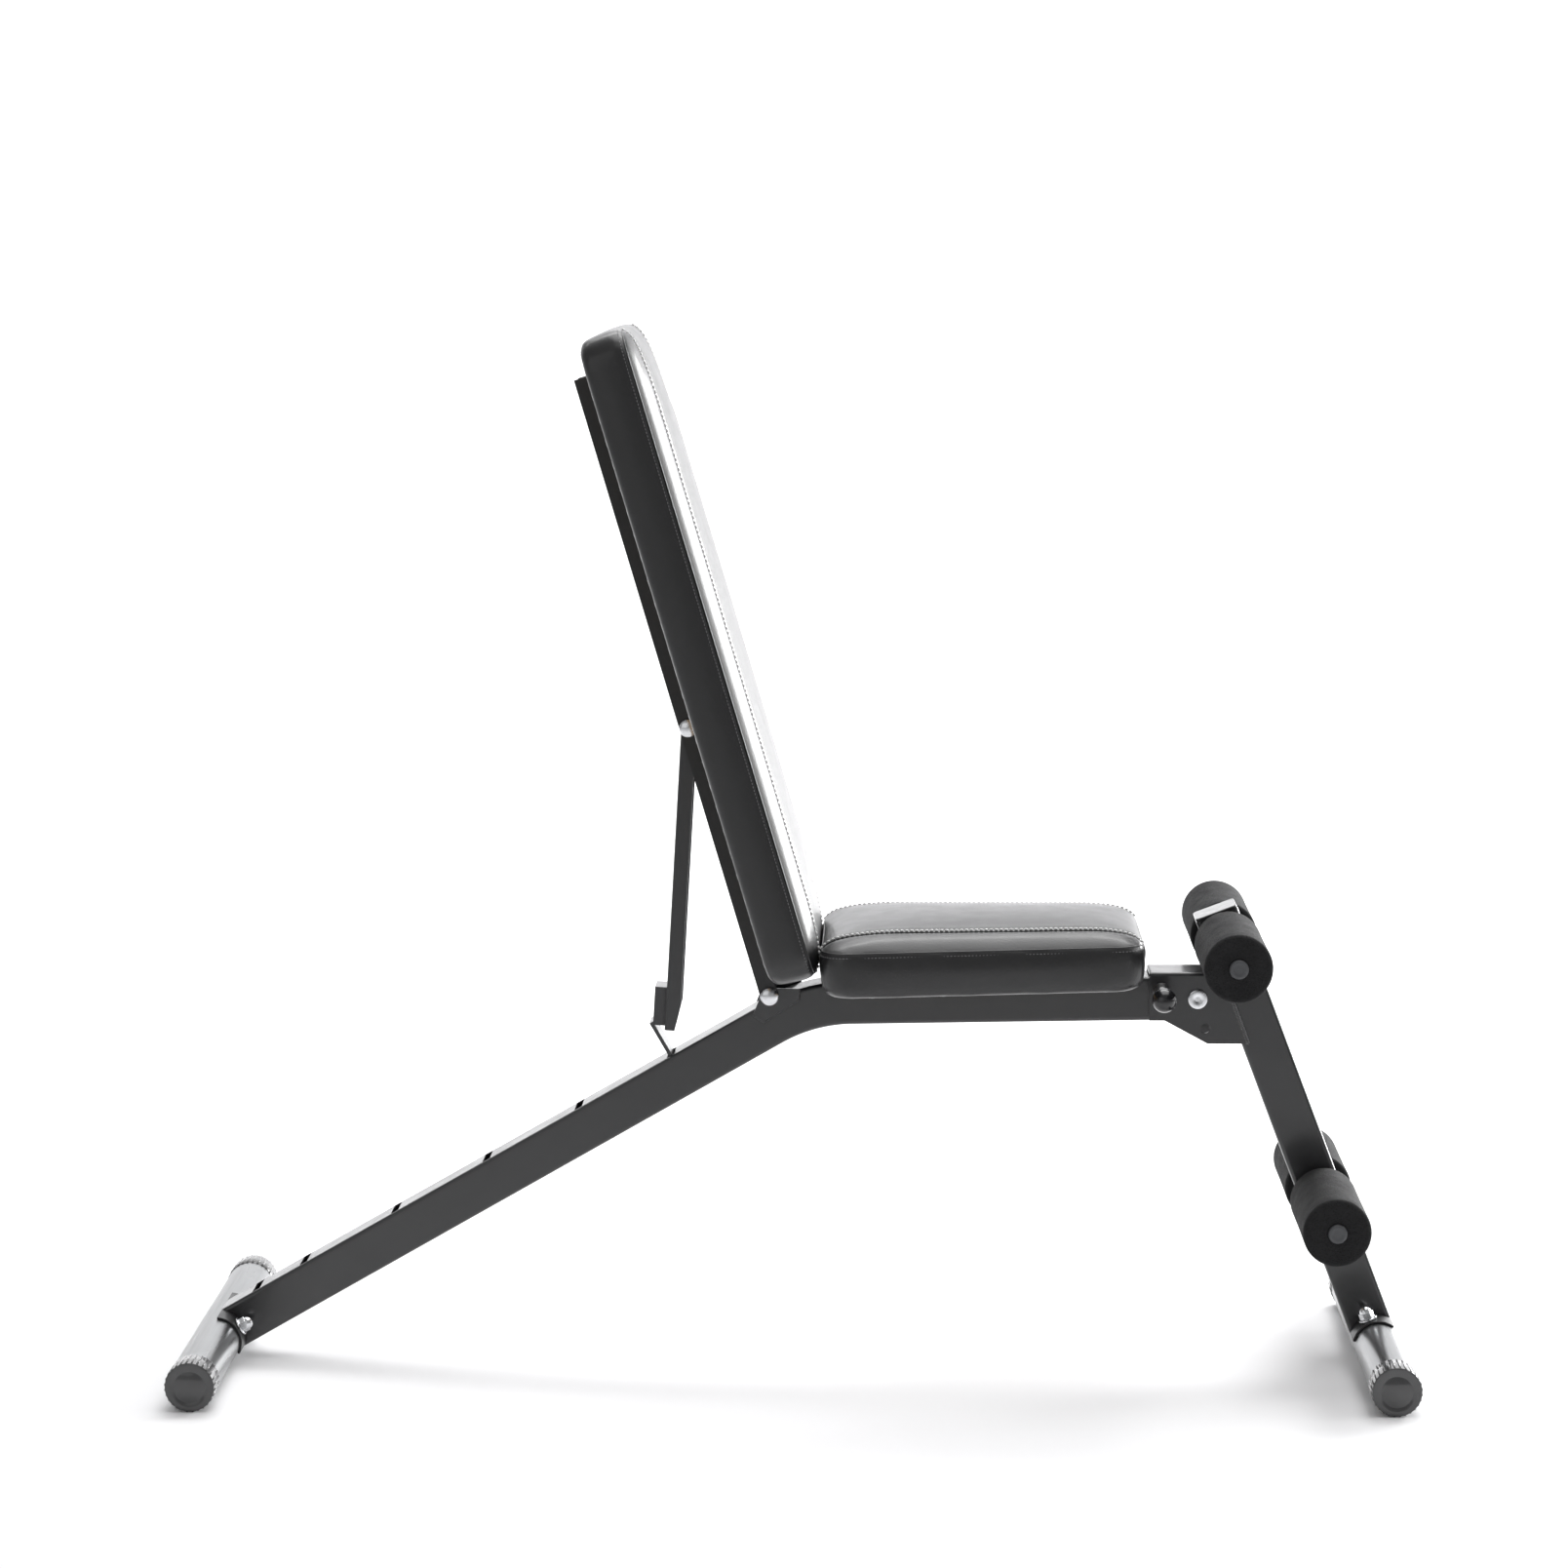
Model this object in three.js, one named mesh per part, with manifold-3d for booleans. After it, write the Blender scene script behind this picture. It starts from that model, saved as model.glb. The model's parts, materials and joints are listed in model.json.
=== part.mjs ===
// Adjustable weight bench: bent main frame with a row of slots, hinged backrest on a
// swinging strut, bolted seat, fold-away front leg with four foam rollers and a pull pin.
// Millimetres and degrees. +X runs from the backrest to the front leg, +Z is up, y = 0 is
// the mid-plane and z = 0 is the floor.

import * as THREE from 'three';
import Module from 'manifold-3d';
import { mergeVertices } from 'three/addons/utils/BufferGeometryUtils.js';

const wasm = await Module();
wasm.setup();
const rad = THREE.MathUtils.degToRad;

// ---- clearances -------------------------------------------------------------------------
const weldGap = 0.15;
const seatGap = 0.3;
const turnGap = 0.35;
const sheetGap = 0.5;

// ---- main frame -------------------------------------------------------------------------
const tube = 45;
const tubeWall = 2;
const tubeCorner = 4;
const footSpan = 1196;
const bendZ = 376;
const bendRadius = 170;
const frontPitch = 0.9;
const frontEnd = 7;
const slotDistances = [120.5, 230.8, 341.1, 451.4, 561.7, 618];
const slotWidth = 9;
const slotEndGap = 1.5;
const lastSlotShift = 1;

// ---- feet -------------------------------------------------------------------------------
const footWidth = 450;
const footRadius = 24.2;
const footWall = 1.6;
const capWall = 1.3;
const capLength = 33;
const capScallops = 28;
const capScallopDepth = 0.55;
const capFloorCut = 0.35;
const saddleThickness = 2.5;
const saddleHalfAngle = 57;
const saddleLength = 104;
const footBoltRadius = 4;
const footHeadRadius = 8;
const footNutRadius = 9.5;
const footNutHeight = 14.5;
const footBoltClear = 6;

// ---- backrest ---------------------------------------------------------------------------
const backPivotSetback = 30.425;
const backPivotRise = 4.855;
const earThickness = 3;
const earReach = 10;
const channelWall = 2.5;
const channelWeb = 2;
const channelRear = 9.2;
const channelFront = 10.2;
const channelDrop = 39;
const channelWebStart = 17;
const backLean = 16.4;
const strutPivotHeight = 288.3;
const padHalfWidth = 127;
const backPadBottom = 17;
const backPadTop = 697;
const backPadProfile = [
  [0, 8], [3, 3], [9, 0], [36, 0], [43, 3.5], [48, 13], [55, 43], [63, 66], [67, 88], [69, 108],
];
const endEase = 0.7;
const boardThickness = 12;
const boardInset = 13;
const boardScrewRadius = 2.3;
const endScrewInset = [45, 48];
const middleScrewOffset = [-98.3, 141.7];

// ---- strut ------------------------------------------------------------------------------
const strutSideGap = 4.15;
const strutHalfDepth = 7.8;
const strutWall = 2.5;
const strutStop = 27;
const strutChamfer = 5.2;
const strutWebDrop = 14;
const shoeBite = 0.42;
const shoeHeight = 40;
const shoeRise = 31;
const tongueThickness = 4;
const tongueInset = 5.5;
const tongueReach = 5;

// ---- seat -------------------------------------------------------------------------------
const seatSetback = 12;
const seatLength = 331;
const seatRearHalfWidth = 132;
const seatFrontHalfWidth = 115;
const seatPadProfile = [
  [0, 11], [4, 4], [12, 0], [36, 0], [43, 3.5], [48, 12], [55, 40], [58.5, 58], [60, 80],
];
const seatBoltInset = [80, 71];
const seatBoltRadius = 3;
const seatHeadRadius = 7;
const seatHeadHeight = 4;

// ---- front leg --------------------------------------------------------------------------
const legLean = 20.7;
const legTopRise = 92.265;
const foldSetback = 54.3;
const legOffset = 51.766;
const bracketReach = 49.3;
const bracketStep = 16;
const bracketSlant = 44;
const bracketDepth = 24;
const bracketSheet = 3;
const bracketGap = 0.6;
const webGap = 1.8;
const bracketLap = 6;
const storageHoleX = 8;
const storageHoleDrop = 8;
const storageHoleRadius = 5;
const pinOffset = [-37, 8];
const pinRadius = 4;
const pinTip = 1.3;
const barrelRadius = 7.8;
const barrelFlange = 9;
const barrelLength = 22;
const knobRadius = 12.5;
const knobReach = 51.9;
const upperRollerDrop = 31;
const lowerRollerHeight = 158.5;
const rollerTubeRadius = 9.5;
const rollerRadius = 34.2;
const rollerGap = 4.5;
const rollerTubeWall = 1.5;
const rollerLength = 150;

// ---- fasteners --------------------------------------------------------------------------
const pivotBoltRadius = 4;
const pivotHeadRadius = 9.5;
const pivotHeadHeight = 5.5;
const pivotNutHeight = 12;
const foldBoltRadius = 5;
const foldHeadRadius = 10;
const foldHeadHeight = 3.2;
const foldNutHeight = 14;

// ---- derived sizes ----------------------------------------------------------------------
const half = tube / 2;
const capRadius = footRadius + capWall;
const footZ = capRadius - capFloorCut;
const rearX = -footSpan / 2;
const frontX = footSpan / 2;
const foldReach = seatSetback + seatLength + foldSetback;
const foldZ = bendZ + foldReach * Math.tan(rad(frontPitch));
const foldX = frontX - (foldZ - footZ) * Math.tan(rad(legLean)) - legOffset;
const legLength = (foldZ - footZ) / Math.cos(rad(legLean)) + legTopRise;
const rollerHeights = [legLength - upperRollerDrop, lowerRollerHeight];
const bendX = foldX - foldReach;
const seatStart = bendX + seatSetback;
const bracketRear = foldX - bracketReach;
const rearSlope = THREE.MathUtils.radToDeg(Math.atan2(bendZ - footZ, bendX - rearX));
const rearTilt = 90 - rearSlope;
const saddleInner = footRadius + weldGap;
const saddleOuter = saddleInner + saddleThickness;
const earOuter = half + weldGap + earThickness;
const channelInner = earOuter + sheetGap;
const channelOuter = channelInner + channelWall;
const channelTop = backPadTop - channelDrop;
const strutHalfWidth = channelInner - strutSideGap;
const tongueHalfWidth = half - tongueInset;
const slotLength = 2 * (tongueHalfWidth + slotEndGap);
const footBoltSpread = half + footNutRadius + footBoltClear;
const boardScrewHeights = [
  backPadBottom + endScrewInset[0],
  strutPivotHeight + middleScrewOffset[0],
  strutPivotHeight + middleScrewOffset[1],
  channelTop - endScrewInset[1],
];
const seatBoltOffsets = [seatBoltInset[0], seatLength - seatBoltInset[1]];
const storageHole = [storageHoleX, -half - storageHoleDrop, storageHoleRadius];
const rollerInner = half + rollerGap;
const cheekInner = half + bracketGap;
const cheekOuter = cheekInner + bracketSheet;
const knobCentreY = -cheekOuter - knobReach;

/** Unit vector along the front part of the main frame, towards the leg. */
const frontDir = new THREE.Vector2(Math.cos(rad(frontPitch)), Math.sin(rad(frontPitch)));
/** Unit vector up the sloping rear part of the main frame. */
const rearDir = new THREE.Vector2(Math.cos(rad(rearSlope)), Math.sin(rad(rearSlope)));
const rearNormal = new THREE.Vector2(-rearDir.y, rearDir.x);
const bend = new THREE.Vector2(bendX, bendZ);
const foldPivot = new THREE.Vector2(foldX, foldZ);
const backPivot = bend.clone()
  .addScaledVector(rearDir, -backPivotSetback)
  .addScaledVector(rearNormal, half + backPivotRise);
const strutPivot = backPivot.clone().add(
  new THREE.Vector2(-Math.sin(rad(backLean)), Math.cos(rad(backLean)))
    .multiplyScalar(strutPivotHeight),
);

/** Point on the top face of the sloping tube, a distance down from below the back pivot. */
function slotMouth(distance) {
  const along = backPivot.clone().sub(bend).dot(rearDir) - distance;
  return bend.clone().addScaledVector(rearDir, along).addScaledVector(rearNormal, half);
}

const strutFoot = slotMouth(slotDistances[0]);
const strutLength = strutPivot.distanceTo(strutFoot);
const strutTilt = THREE.MathUtils.radToDeg(
  Math.atan2(strutPivot.x - strutFoot.x, strutPivot.y - strutFoot.y),
);
const shoeDepth = shoeRise * Math.tan(rad(rearSlope + strutTilt)) - strutHalfDepth - weldGap - shoeBite;

// ---- geometry helpers -------------------------------------------------------------------

/** Indexed, welded copy with no empty triangles, facing outwards. */
function clean(geometry) {
  const bare = geometry.clone();
  bare.deleteAttribute('normal');
  bare.deleteAttribute('uv');
  const merged = mergeVertices(bare, 1e-4);
  const source = merged.index.array;
  const points = merged.attributes.position;
  const [a, b, c] = [new THREE.Vector3(), new THREE.Vector3(), new THREE.Vector3()];
  let triangles = [];
  let volume = 0;
  for (let i = 0; i < source.length; i += 3) {
    const corner = [source[i], source[i + 1], source[i + 2]];
    if (new Set(corner).size === 3) {
      triangles.push(corner);
      a.fromBufferAttribute(points, corner[0]);
      b.fromBufferAttribute(points, corner[1]);
      c.fromBufferAttribute(points, corner[2]);
      volume += a.dot(b.cross(c));
    }
  }
  if (volume < 0) triangles = triangles.map(([p, q, r]) => [p, r, q]);
  merged.setIndex(triangles.flat());
  return merged;
}

function toSolid(geometry) {
  const ready = clean(geometry);
  return new wasm.Manifold(new wasm.Mesh({
    numProp: 3,
    vertProperties: Float32Array.from(ready.attributes.position.array),
    triVerts: Uint32Array.from(ready.index.array),
  }));
}

function fromSolid(solid) {
  const mesh = solid.getMesh();
  const geometry = new THREE.BufferGeometry();
  geometry.setAttribute('position', new THREE.BufferAttribute(Float32Array.from(mesh.vertProperties), 3));
  geometry.setIndex(Array.from(mesh.triVerts));
  return geometry;
}

function cut(base, ...tools) {
  return fromSolid(tools.reduce((solid, tool) => solid.subtract(toSolid(tool)), toSolid(base)));
}

function join(...parts) {
  return fromSolid(parts.slice(1).reduce((solid, part) => solid.add(toSolid(part)), toSolid(parts[0])));
}

/** Turns about the Y axis, then moves in the X-Z plane. */
function place(geometry, angle, x, z) {
  return geometry.rotateY(rad(angle)).translate(x, 0, z);
}

function box(x0, x1, y0, y1, z0, z1) {
  return new THREE.BoxGeometry(x1 - x0, y1 - y0, z1 - z0)
    .translate((x0 + x1) / 2, (y0 + y1) / 2, (z0 + z1) / 2);
}

/** Flat plate with its outline in the X-Z plane, from y0 to y1. */
function plate(shape, y0, y1) {
  return new THREE.ExtrudeGeometry(shape, { depth: y1 - y0, bevelEnabled: false, curveSegments: 9 })
    .rotateX(Math.PI / 2)
    .translate(0, y1, 0);
}

function polygon(points) {
  return new THREE.Shape(points.map(([x, z]) => new THREE.Vector2(x, z)));
}

/** Round bar along Y through (x, z). */
function barY(x, z, radius, y0, y1, segments = 32) {
  return new THREE.CylinderGeometry(radius, radius, y1 - y0, segments).translate(x, (y0 + y1) / 2, z);
}

/** Turned piece about the Y axis; each profile point is [radius, y]. */
function turned(profile, segments = 20) {
  return new THREE.LatheGeometry(profile.map(([r, y]) => new THREE.Vector2(r, y)), segments);
}

/** Turned ring between two radii, from y0 to y1, with eased outer edges. */
function ring(inner, outer, y0, y1, ease, segments = 32) {
  return turned([
    [inner, y0],
    [outer - ease, y0],
    [outer, y0 + ease],
    [outer, y1 - ease],
    [outer - ease, y1],
    [inner, y1],
    [inner, y0],
  ], segments);
}

function roundedSquare(side, corner) {
  const edge = side / 2;
  const shape = new THREE.Shape();
  shape.moveTo(edge - corner, -edge);
  shape.absarc(edge - corner, -edge + corner, corner, -Math.PI / 2, 0);
  shape.absarc(edge - corner, edge - corner, corner, 0, Math.PI / 2);
  shape.absarc(-edge + corner, edge - corner, corner, Math.PI / 2, Math.PI);
  shape.absarc(-edge + corner, -edge + corner, corner, Math.PI, 1.5 * Math.PI);
  shape.closePath();
  return shape;
}

function tubeSection() {
  const section = roundedSquare(tube, tubeCorner);
  section.holes.push(roundedSquare(tube - 2 * tubeWall, tubeCorner - tubeWall));
  return section;
}

/** Straight square tube standing on z = 0. */
function squareTube(length) {
  return new THREE.ExtrudeGeometry(tubeSection(), { depth: length, bevelEnabled: false, curveSegments: 2 });
}

/** Straight - arc - straight line in the X-Z plane. */
class BentLine extends THREE.Curve {
  constructor(rearLength, frontLength) {
    super();
    this.turn = rad(rearSlope - frontPitch);
    this.rear = rearLength - bendRadius * Math.tan(this.turn / 2);
    this.arc = bendRadius * this.turn;
    this.total = this.rear + this.arc + frontLength - bendRadius * Math.tan(this.turn / 2);
    this.start = bend.clone().addScaledVector(rearDir, -rearLength);
  }

  getPoint(t) {
    const distance = t * this.total;
    const slope = rad(rearSlope);
    const onArc = THREE.MathUtils.clamp(distance - this.rear, 0, this.arc) / bendRadius;
    const point = this.start.clone().addScaledVector(rearDir, Math.min(distance, this.rear));
    point.x += bendRadius * (Math.sin(slope) - Math.sin(slope - onArc));
    point.y += bendRadius * (Math.cos(slope - onArc) - Math.cos(slope));
    point.addScaledVector(frontDir, Math.max(distance - this.rear - this.arc, 0));
    return new THREE.Vector3(point.x, 0, point.y);
  }
}

/** Corner points of a rounded four-sided plan whose half-width runs from rear to front. */
function padOutline(length, rearHalf, frontHalf, endInset, sideInset) {
  const radius = 24 + 0.35 * sideInset;
  const corners = [
    [length - endInset, -(frontHalf - sideInset), -90],
    [length - endInset, frontHalf - sideInset, 0],
    [endInset, rearHalf - sideInset, 90],
    [endInset, -(rearHalf - sideInset), 180],
  ];
  return corners.flatMap(([x, y, from]) => {
    const centreX = x + (x > length / 2 ? -radius : radius);
    const centreY = y + (y > 0 ? -radius : radius);
    return [0, 18, 36, 54, 72, 90].map((step) => {
      const angle = rad(from + step);
      return [centreX + radius * Math.cos(angle), centreY + radius * Math.sin(angle)];
    });
  });
}

/** Closed skin through stacked outlines of equal point count; each is [height, points]. */
function loft(layers) {
  const count = layers[0][1].length;
  const positions = layers.flatMap(([z, points]) => points.flatMap(([x, y]) => [x, y, z]));
  const index = [];
  for (let k = 0; k + 1 < layers.length; k += 1) {
    for (let i = 0; i < count; i += 1) {
      const [a, b] = [k * count + i, k * count + ((i + 1) % count)];
      index.push(a, b, b + count, a, b + count, a + count);
    }
  }
  const top = (layers.length - 1) * count;
  for (let i = 1; i + 1 < count; i += 1) {
    index.push(0, i + 1, i, top, top + i, top + i + 1);
  }
  const geometry = new THREE.BufferGeometry();
  geometry.setAttribute('position', new THREE.Float32BufferAttribute(positions, 3));
  geometry.setIndex(index);
  return geometry;
}

/** Padded cushion on z = 0 with a pocket underneath for its board. */
function cushion(length, rearHalf, frontHalf, profile) {
  const skin = loft(profile.map(([height, inset]) => (
    [height, padOutline(length, rearHalf, frontHalf, inset * endEase, inset)]
  )));
  const pocket = board(length, rearHalf, frontHalf, -1, boardThickness + 2 * seatGap, sheetGap);
  return cut(skin, pocket);
}

/** Plywood board of a cushion, from z0 to z1; grow widens it all round. */
function board(length, rearHalf, frontHalf, z0, z1, grow) {
  const outline = padOutline(length, rearHalf, frontHalf, boardInset - grow, boardInset - grow);
  return loft([[z0, outline], [z1, outline]]);
}

/** Bolt about Y: domed head below y = 0, shank above it. */
function domedBolt(shankRadius, headRadius, headHeight, length) {
  return turned([
    [0, -headHeight],
    [headRadius * 0.45, -headHeight * 0.93],
    [headRadius * 0.8, -headHeight * 0.66],
    [headRadius, -headHeight * 0.25],
    [headRadius, 0],
    [shankRadius, 0],
    [shankRadius, length],
    [0, length],
  ]);
}

/** Domed cap nut about Y standing on y = 0, with a washer flange and a blind bore. */
function capNut(shankRadius, outer, height) {
  const bore = shankRadius + seatGap;
  return turned([
    [0, height * 0.72],
    [bore, height * 0.72],
    [bore, 0],
    [outer, 0],
    [outer, height * 0.14],
    [outer * 0.8, height * 0.16],
    [outer * 0.8, height * 0.55],
    [outer * 0.62, height * 0.85],
    [outer * 0.3, height * 0.97],
    [0, height],
  ]);
}

// ---- assembly ---------------------------------------------------------------------------

const group = new THREE.Group();
group.name = 'weight_bench';

function add(name, geometry, color, options = {}) {
  const material = new THREE.MeshStandardMaterial({ color, roughness: 0.5, ...options });
  const mesh = new THREE.Mesh(clean(geometry), material);
  mesh.name = name;
  group.add(mesh);
}

const paint = 0x2b2b2d;
const zinc = 0xc9ccd0;
const vinyl = 0x1b1b1d;
const wood = 0x6f5a41;
const plastic = 0x232325;

function buildMainFrame() {
  const rearLength = bend.distanceTo(new THREE.Vector2(rearX, footZ));
  const frontLength = foldPivot.distanceTo(bend) + frontEnd;
  const path = new BentLine(rearLength, frontLength);
  const body = new THREE.ExtrudeGeometry(tubeSection(), { steps: 28, extrudePath: path, curveSegments: 2 });
  const slots = slotDistances.map((distance, k) => {
    const shift = k === slotDistances.length - 1 ? lastSlotShift : 0;
    const mouth = slotMouth(distance + shift);
    const tool = box(-slotWidth / 2, slotWidth / 2, -slotLength / 2, slotLength / 2, -2 * tubeWall, tubeWall);
    return place(tool, -rearSlope, mouth.x, mouth.y);
  });
  const pin = foldPivot.clone().add(new THREE.Vector2(...pinOffset));
  const access = seatBoltOffsets.flatMap((offset) => {
    const shankHole = seatBoltRadius + 0.4;
    const headHole = seatHeadRadius + 1.5;
    const shank = new THREE.CylinderGeometry(shankHole, shankHole, 12, 32).rotateX(Math.PI / 2);
    const head = new THREE.CylinderGeometry(headHole, headHole, 12, 32).rotateX(Math.PI / 2)
      .translate(0, 0, -tube);
    return [onSeat(shank.translate(offset, 0, 0)), onSeat(head.translate(offset, 0, 0))];
  });
  add('main_tube', cut(
    body,
    barY(rearX, footZ, saddleOuter + weldGap, -tube, tube, 48),
    barY(foldPivot.x, foldPivot.y, foldBoltRadius + turnGap, -tube, tube),
    barY(pin.x, pin.y, pinRadius + turnGap, -tube, 0),
    ...slots,
    ...access,
  ), paint);

  const endAt = foldPivot.clone().addScaledVector(frontDir, frontEnd + weldGap);
  const flange = new THREE.ExtrudeGeometry(roundedSquare(tube - 1, tubeCorner), {
    depth: 1.4, bevelEnabled: false, curveSegments: 2,
  });
  add('front_tube_plug', place(flange, 90 - frontPitch, endAt.x, endAt.y), plastic);
}

/** Puts a piece built on the seat's own axes (x from its rear end, z off the tube) in place. */
function onSeat(geometry) {
  const along = (seatStart - bendX) / frontDir.x;
  const origin = bend.clone().addScaledVector(frontDir, along);
  origin.addScaledVector(new THREE.Vector2(-frontDir.y, frontDir.x), half);
  return place(geometry, -frontPitch, origin.x, origin.y);
}

function buildSeat() {
  const grip = seatBoltRadius + 0.4;
  const holes = seatBoltOffsets.map((offset) => (
    new THREE.CylinderGeometry(grip, grip, 22, 32).rotateX(Math.PI / 2).translate(offset, 0, 0)
  ));
  const boardTop = seatGap + boardThickness;
  const plank = board(seatLength, seatRearHalfWidth, seatFrontHalfWidth, seatGap, boardTop, 0);
  add('seat_board', onSeat(cut(plank, ...holes)), wood, { roughness: 0.8 });
  const pad = cushion(seatLength, seatRearHalfWidth, seatFrontHalfWidth, seatPadProfile);
  add('seat_cushion', onSeat(pad.translate(0, 0, seatGap)), vinyl, { roughness: 0.4 });
  seatBoltOffsets.forEach((offset, k) => {
    const bolt = domedBolt(seatBoltRadius, seatHeadRadius, seatHeadHeight, boardThickness + 0.5)
      .rotateX(Math.PI / 2);
    add(`seat_bolt_${k + 1}`, onSeat(bolt.translate(offset, 0, -tubeWall - weldGap)), zinc);
  });
}

/** One floor bar: tube, saddle, two bolts with cap nuts and two ribbed end caps. */
function buildFoot(prefix, footX, towardsFrame) {
  const holes = [-footBoltSpread, footBoltSpread].map((y) => {
    const bore = footBoltRadius + seatGap;
    const hole = new THREE.CylinderGeometry(bore, bore, 4 * footRadius, 32).rotateX(Math.PI / 2);
    return hole.translate(0, y, 0);
  });
  const reach = footWidth / 2 - 3;
  const pipe = turned([
    [footRadius - footWall, -reach],
    [footRadius, -reach],
    [footRadius, reach],
    [footRadius - footWall, reach],
    [footRadius - footWall, -reach],
  ], 32);
  add(`${prefix}_foot_tube`, place(cut(pipe, ...holes), towardsFrame, footX, footZ), paint);

  const arc = new THREE.Shape();
  const [from, to] = [rad(90 - saddleHalfAngle), rad(90 + saddleHalfAngle)];
  arc.absarc(0, 0, saddleOuter, from, to, false);
  arc.absarc(0, 0, saddleInner, to, from, true);
  arc.closePath();
  const saddle = cut(plate(arc, -saddleLength / 2, saddleLength / 2), ...holes);
  add(`${prefix}_saddle`, place(saddle, towardsFrame, footX, footZ), paint);

  [['near', -footBoltSpread], ['far', footBoltSpread]].forEach(([side, y]) => {
    const length = footRadius + saddleOuter + 2 * seatGap + 0.72 * footNutHeight - 0.1;
    const bolt = domedBolt(footBoltRadius, footHeadRadius, 4.5, length).rotateX(Math.PI / 2)
      .translate(0, y, -footRadius - seatGap);
    add(`${prefix}_bolt_${side}`, place(bolt, towardsFrame, footX, footZ), zinc);
    const nut = capNut(footBoltRadius, footNutRadius, footNutHeight).rotateX(Math.PI / 2)
      .translate(0, y, saddleOuter + seatGap);
    add(`${prefix}_nut_${side}`, place(nut, towardsFrame, footX, footZ), zinc);
  });

  const outline = [];
  for (let k = 0; k < 3 * capScallops; k += 1) {
    const angle = -Math.PI / 2 + ((2 * k + 1) * Math.PI) / (3 * capScallops);
    const radius = capRadius - (k % 3 === 1 ? capScallopDepth : 0);
    outline.push([radius * Math.cos(angle), radius * Math.sin(angle)]);
  }
  [['near', -1], ['far', 1]].forEach(([side, sign]) => {
    const outer = (sign * footWidth) / 2;
    const inner = outer - sign * capLength;
    const [y0, y1] = [Math.min(inner, outer), Math.max(inner, outer)];
    const bore = barY(0, 0, footRadius + 0.2, -sign * 3 + y0, -sign * 3 + y1, 48);
    const floor = box(-capRadius, capRadius, -footWidth, footWidth, -2 * capRadius, -footZ);
    add(`${prefix}_cap_${side}`, cut(plate(polygon(outline), y0, y1), bore, floor)
      .translate(footX, 0, footZ), plastic);
  });
}

function buildBackPivot() {
  const lower = backPivot.clone().sub(bend).dot(rearDir);
  const rise = backPivot.clone().sub(bend).dot(rearNormal);
  [['near', -1], ['far', 1]].forEach(([side, sign]) => {
    const ear = new THREE.Shape();
    ear.moveTo(lower - 25, half - 4);
    ear.lineTo(lower - 19, half - 15);
    ear.lineTo(lower + 24, half - 13);
    ear.lineTo(lower + 30, half - 4);
    ear.absarc(lower, rise, earReach, rad(20), rad(160), false);
    ear.closePath();
    const [y0, y1] = [half + weldGap, earOuter].map((y) => y * sign).sort((p, q) => p - q);
    const blank = place(plate(ear, y0, y1), -rearSlope, bend.x, bend.y);
    const hole = barY(backPivot.x, backPivot.y, pivotBoltRadius + turnGap, -tube, tube);
    add(`ear_${side}`, cut(blank, hole), paint);
  });
  pivotPair('back_pivot', backPivot);
}

/** Domed bolt with its cap nut, across the backrest channel. */
function pivotPair(prefix, at) {
  const length = 2 * (channelOuter + seatGap) + 0.72 * pivotNutHeight - 1.3;
  const bolt = domedBolt(pivotBoltRadius, pivotHeadRadius, pivotHeadHeight, length);
  add(`${prefix}_bolt`, bolt.translate(at.x, -channelOuter - seatGap, at.y), zinc);
  const nut = capNut(pivotBoltRadius, pivotHeadRadius, pivotNutHeight);
  add(`${prefix}_nut`, nut.translate(at.x, channelOuter + seatGap, at.y), zinc);
}

function onBack(geometry) {
  return place(geometry, -backLean, backPivot.x, backPivot.y);
}

/** Lays a pad built on z = 0 against the front of the channel. */
function againstChannel(geometry) {
  return onBack(geometry.rotateX(Math.PI).rotateY(-Math.PI / 2)
    .translate(channelFront + seatGap, 0, backPadBottom));
}

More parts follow.
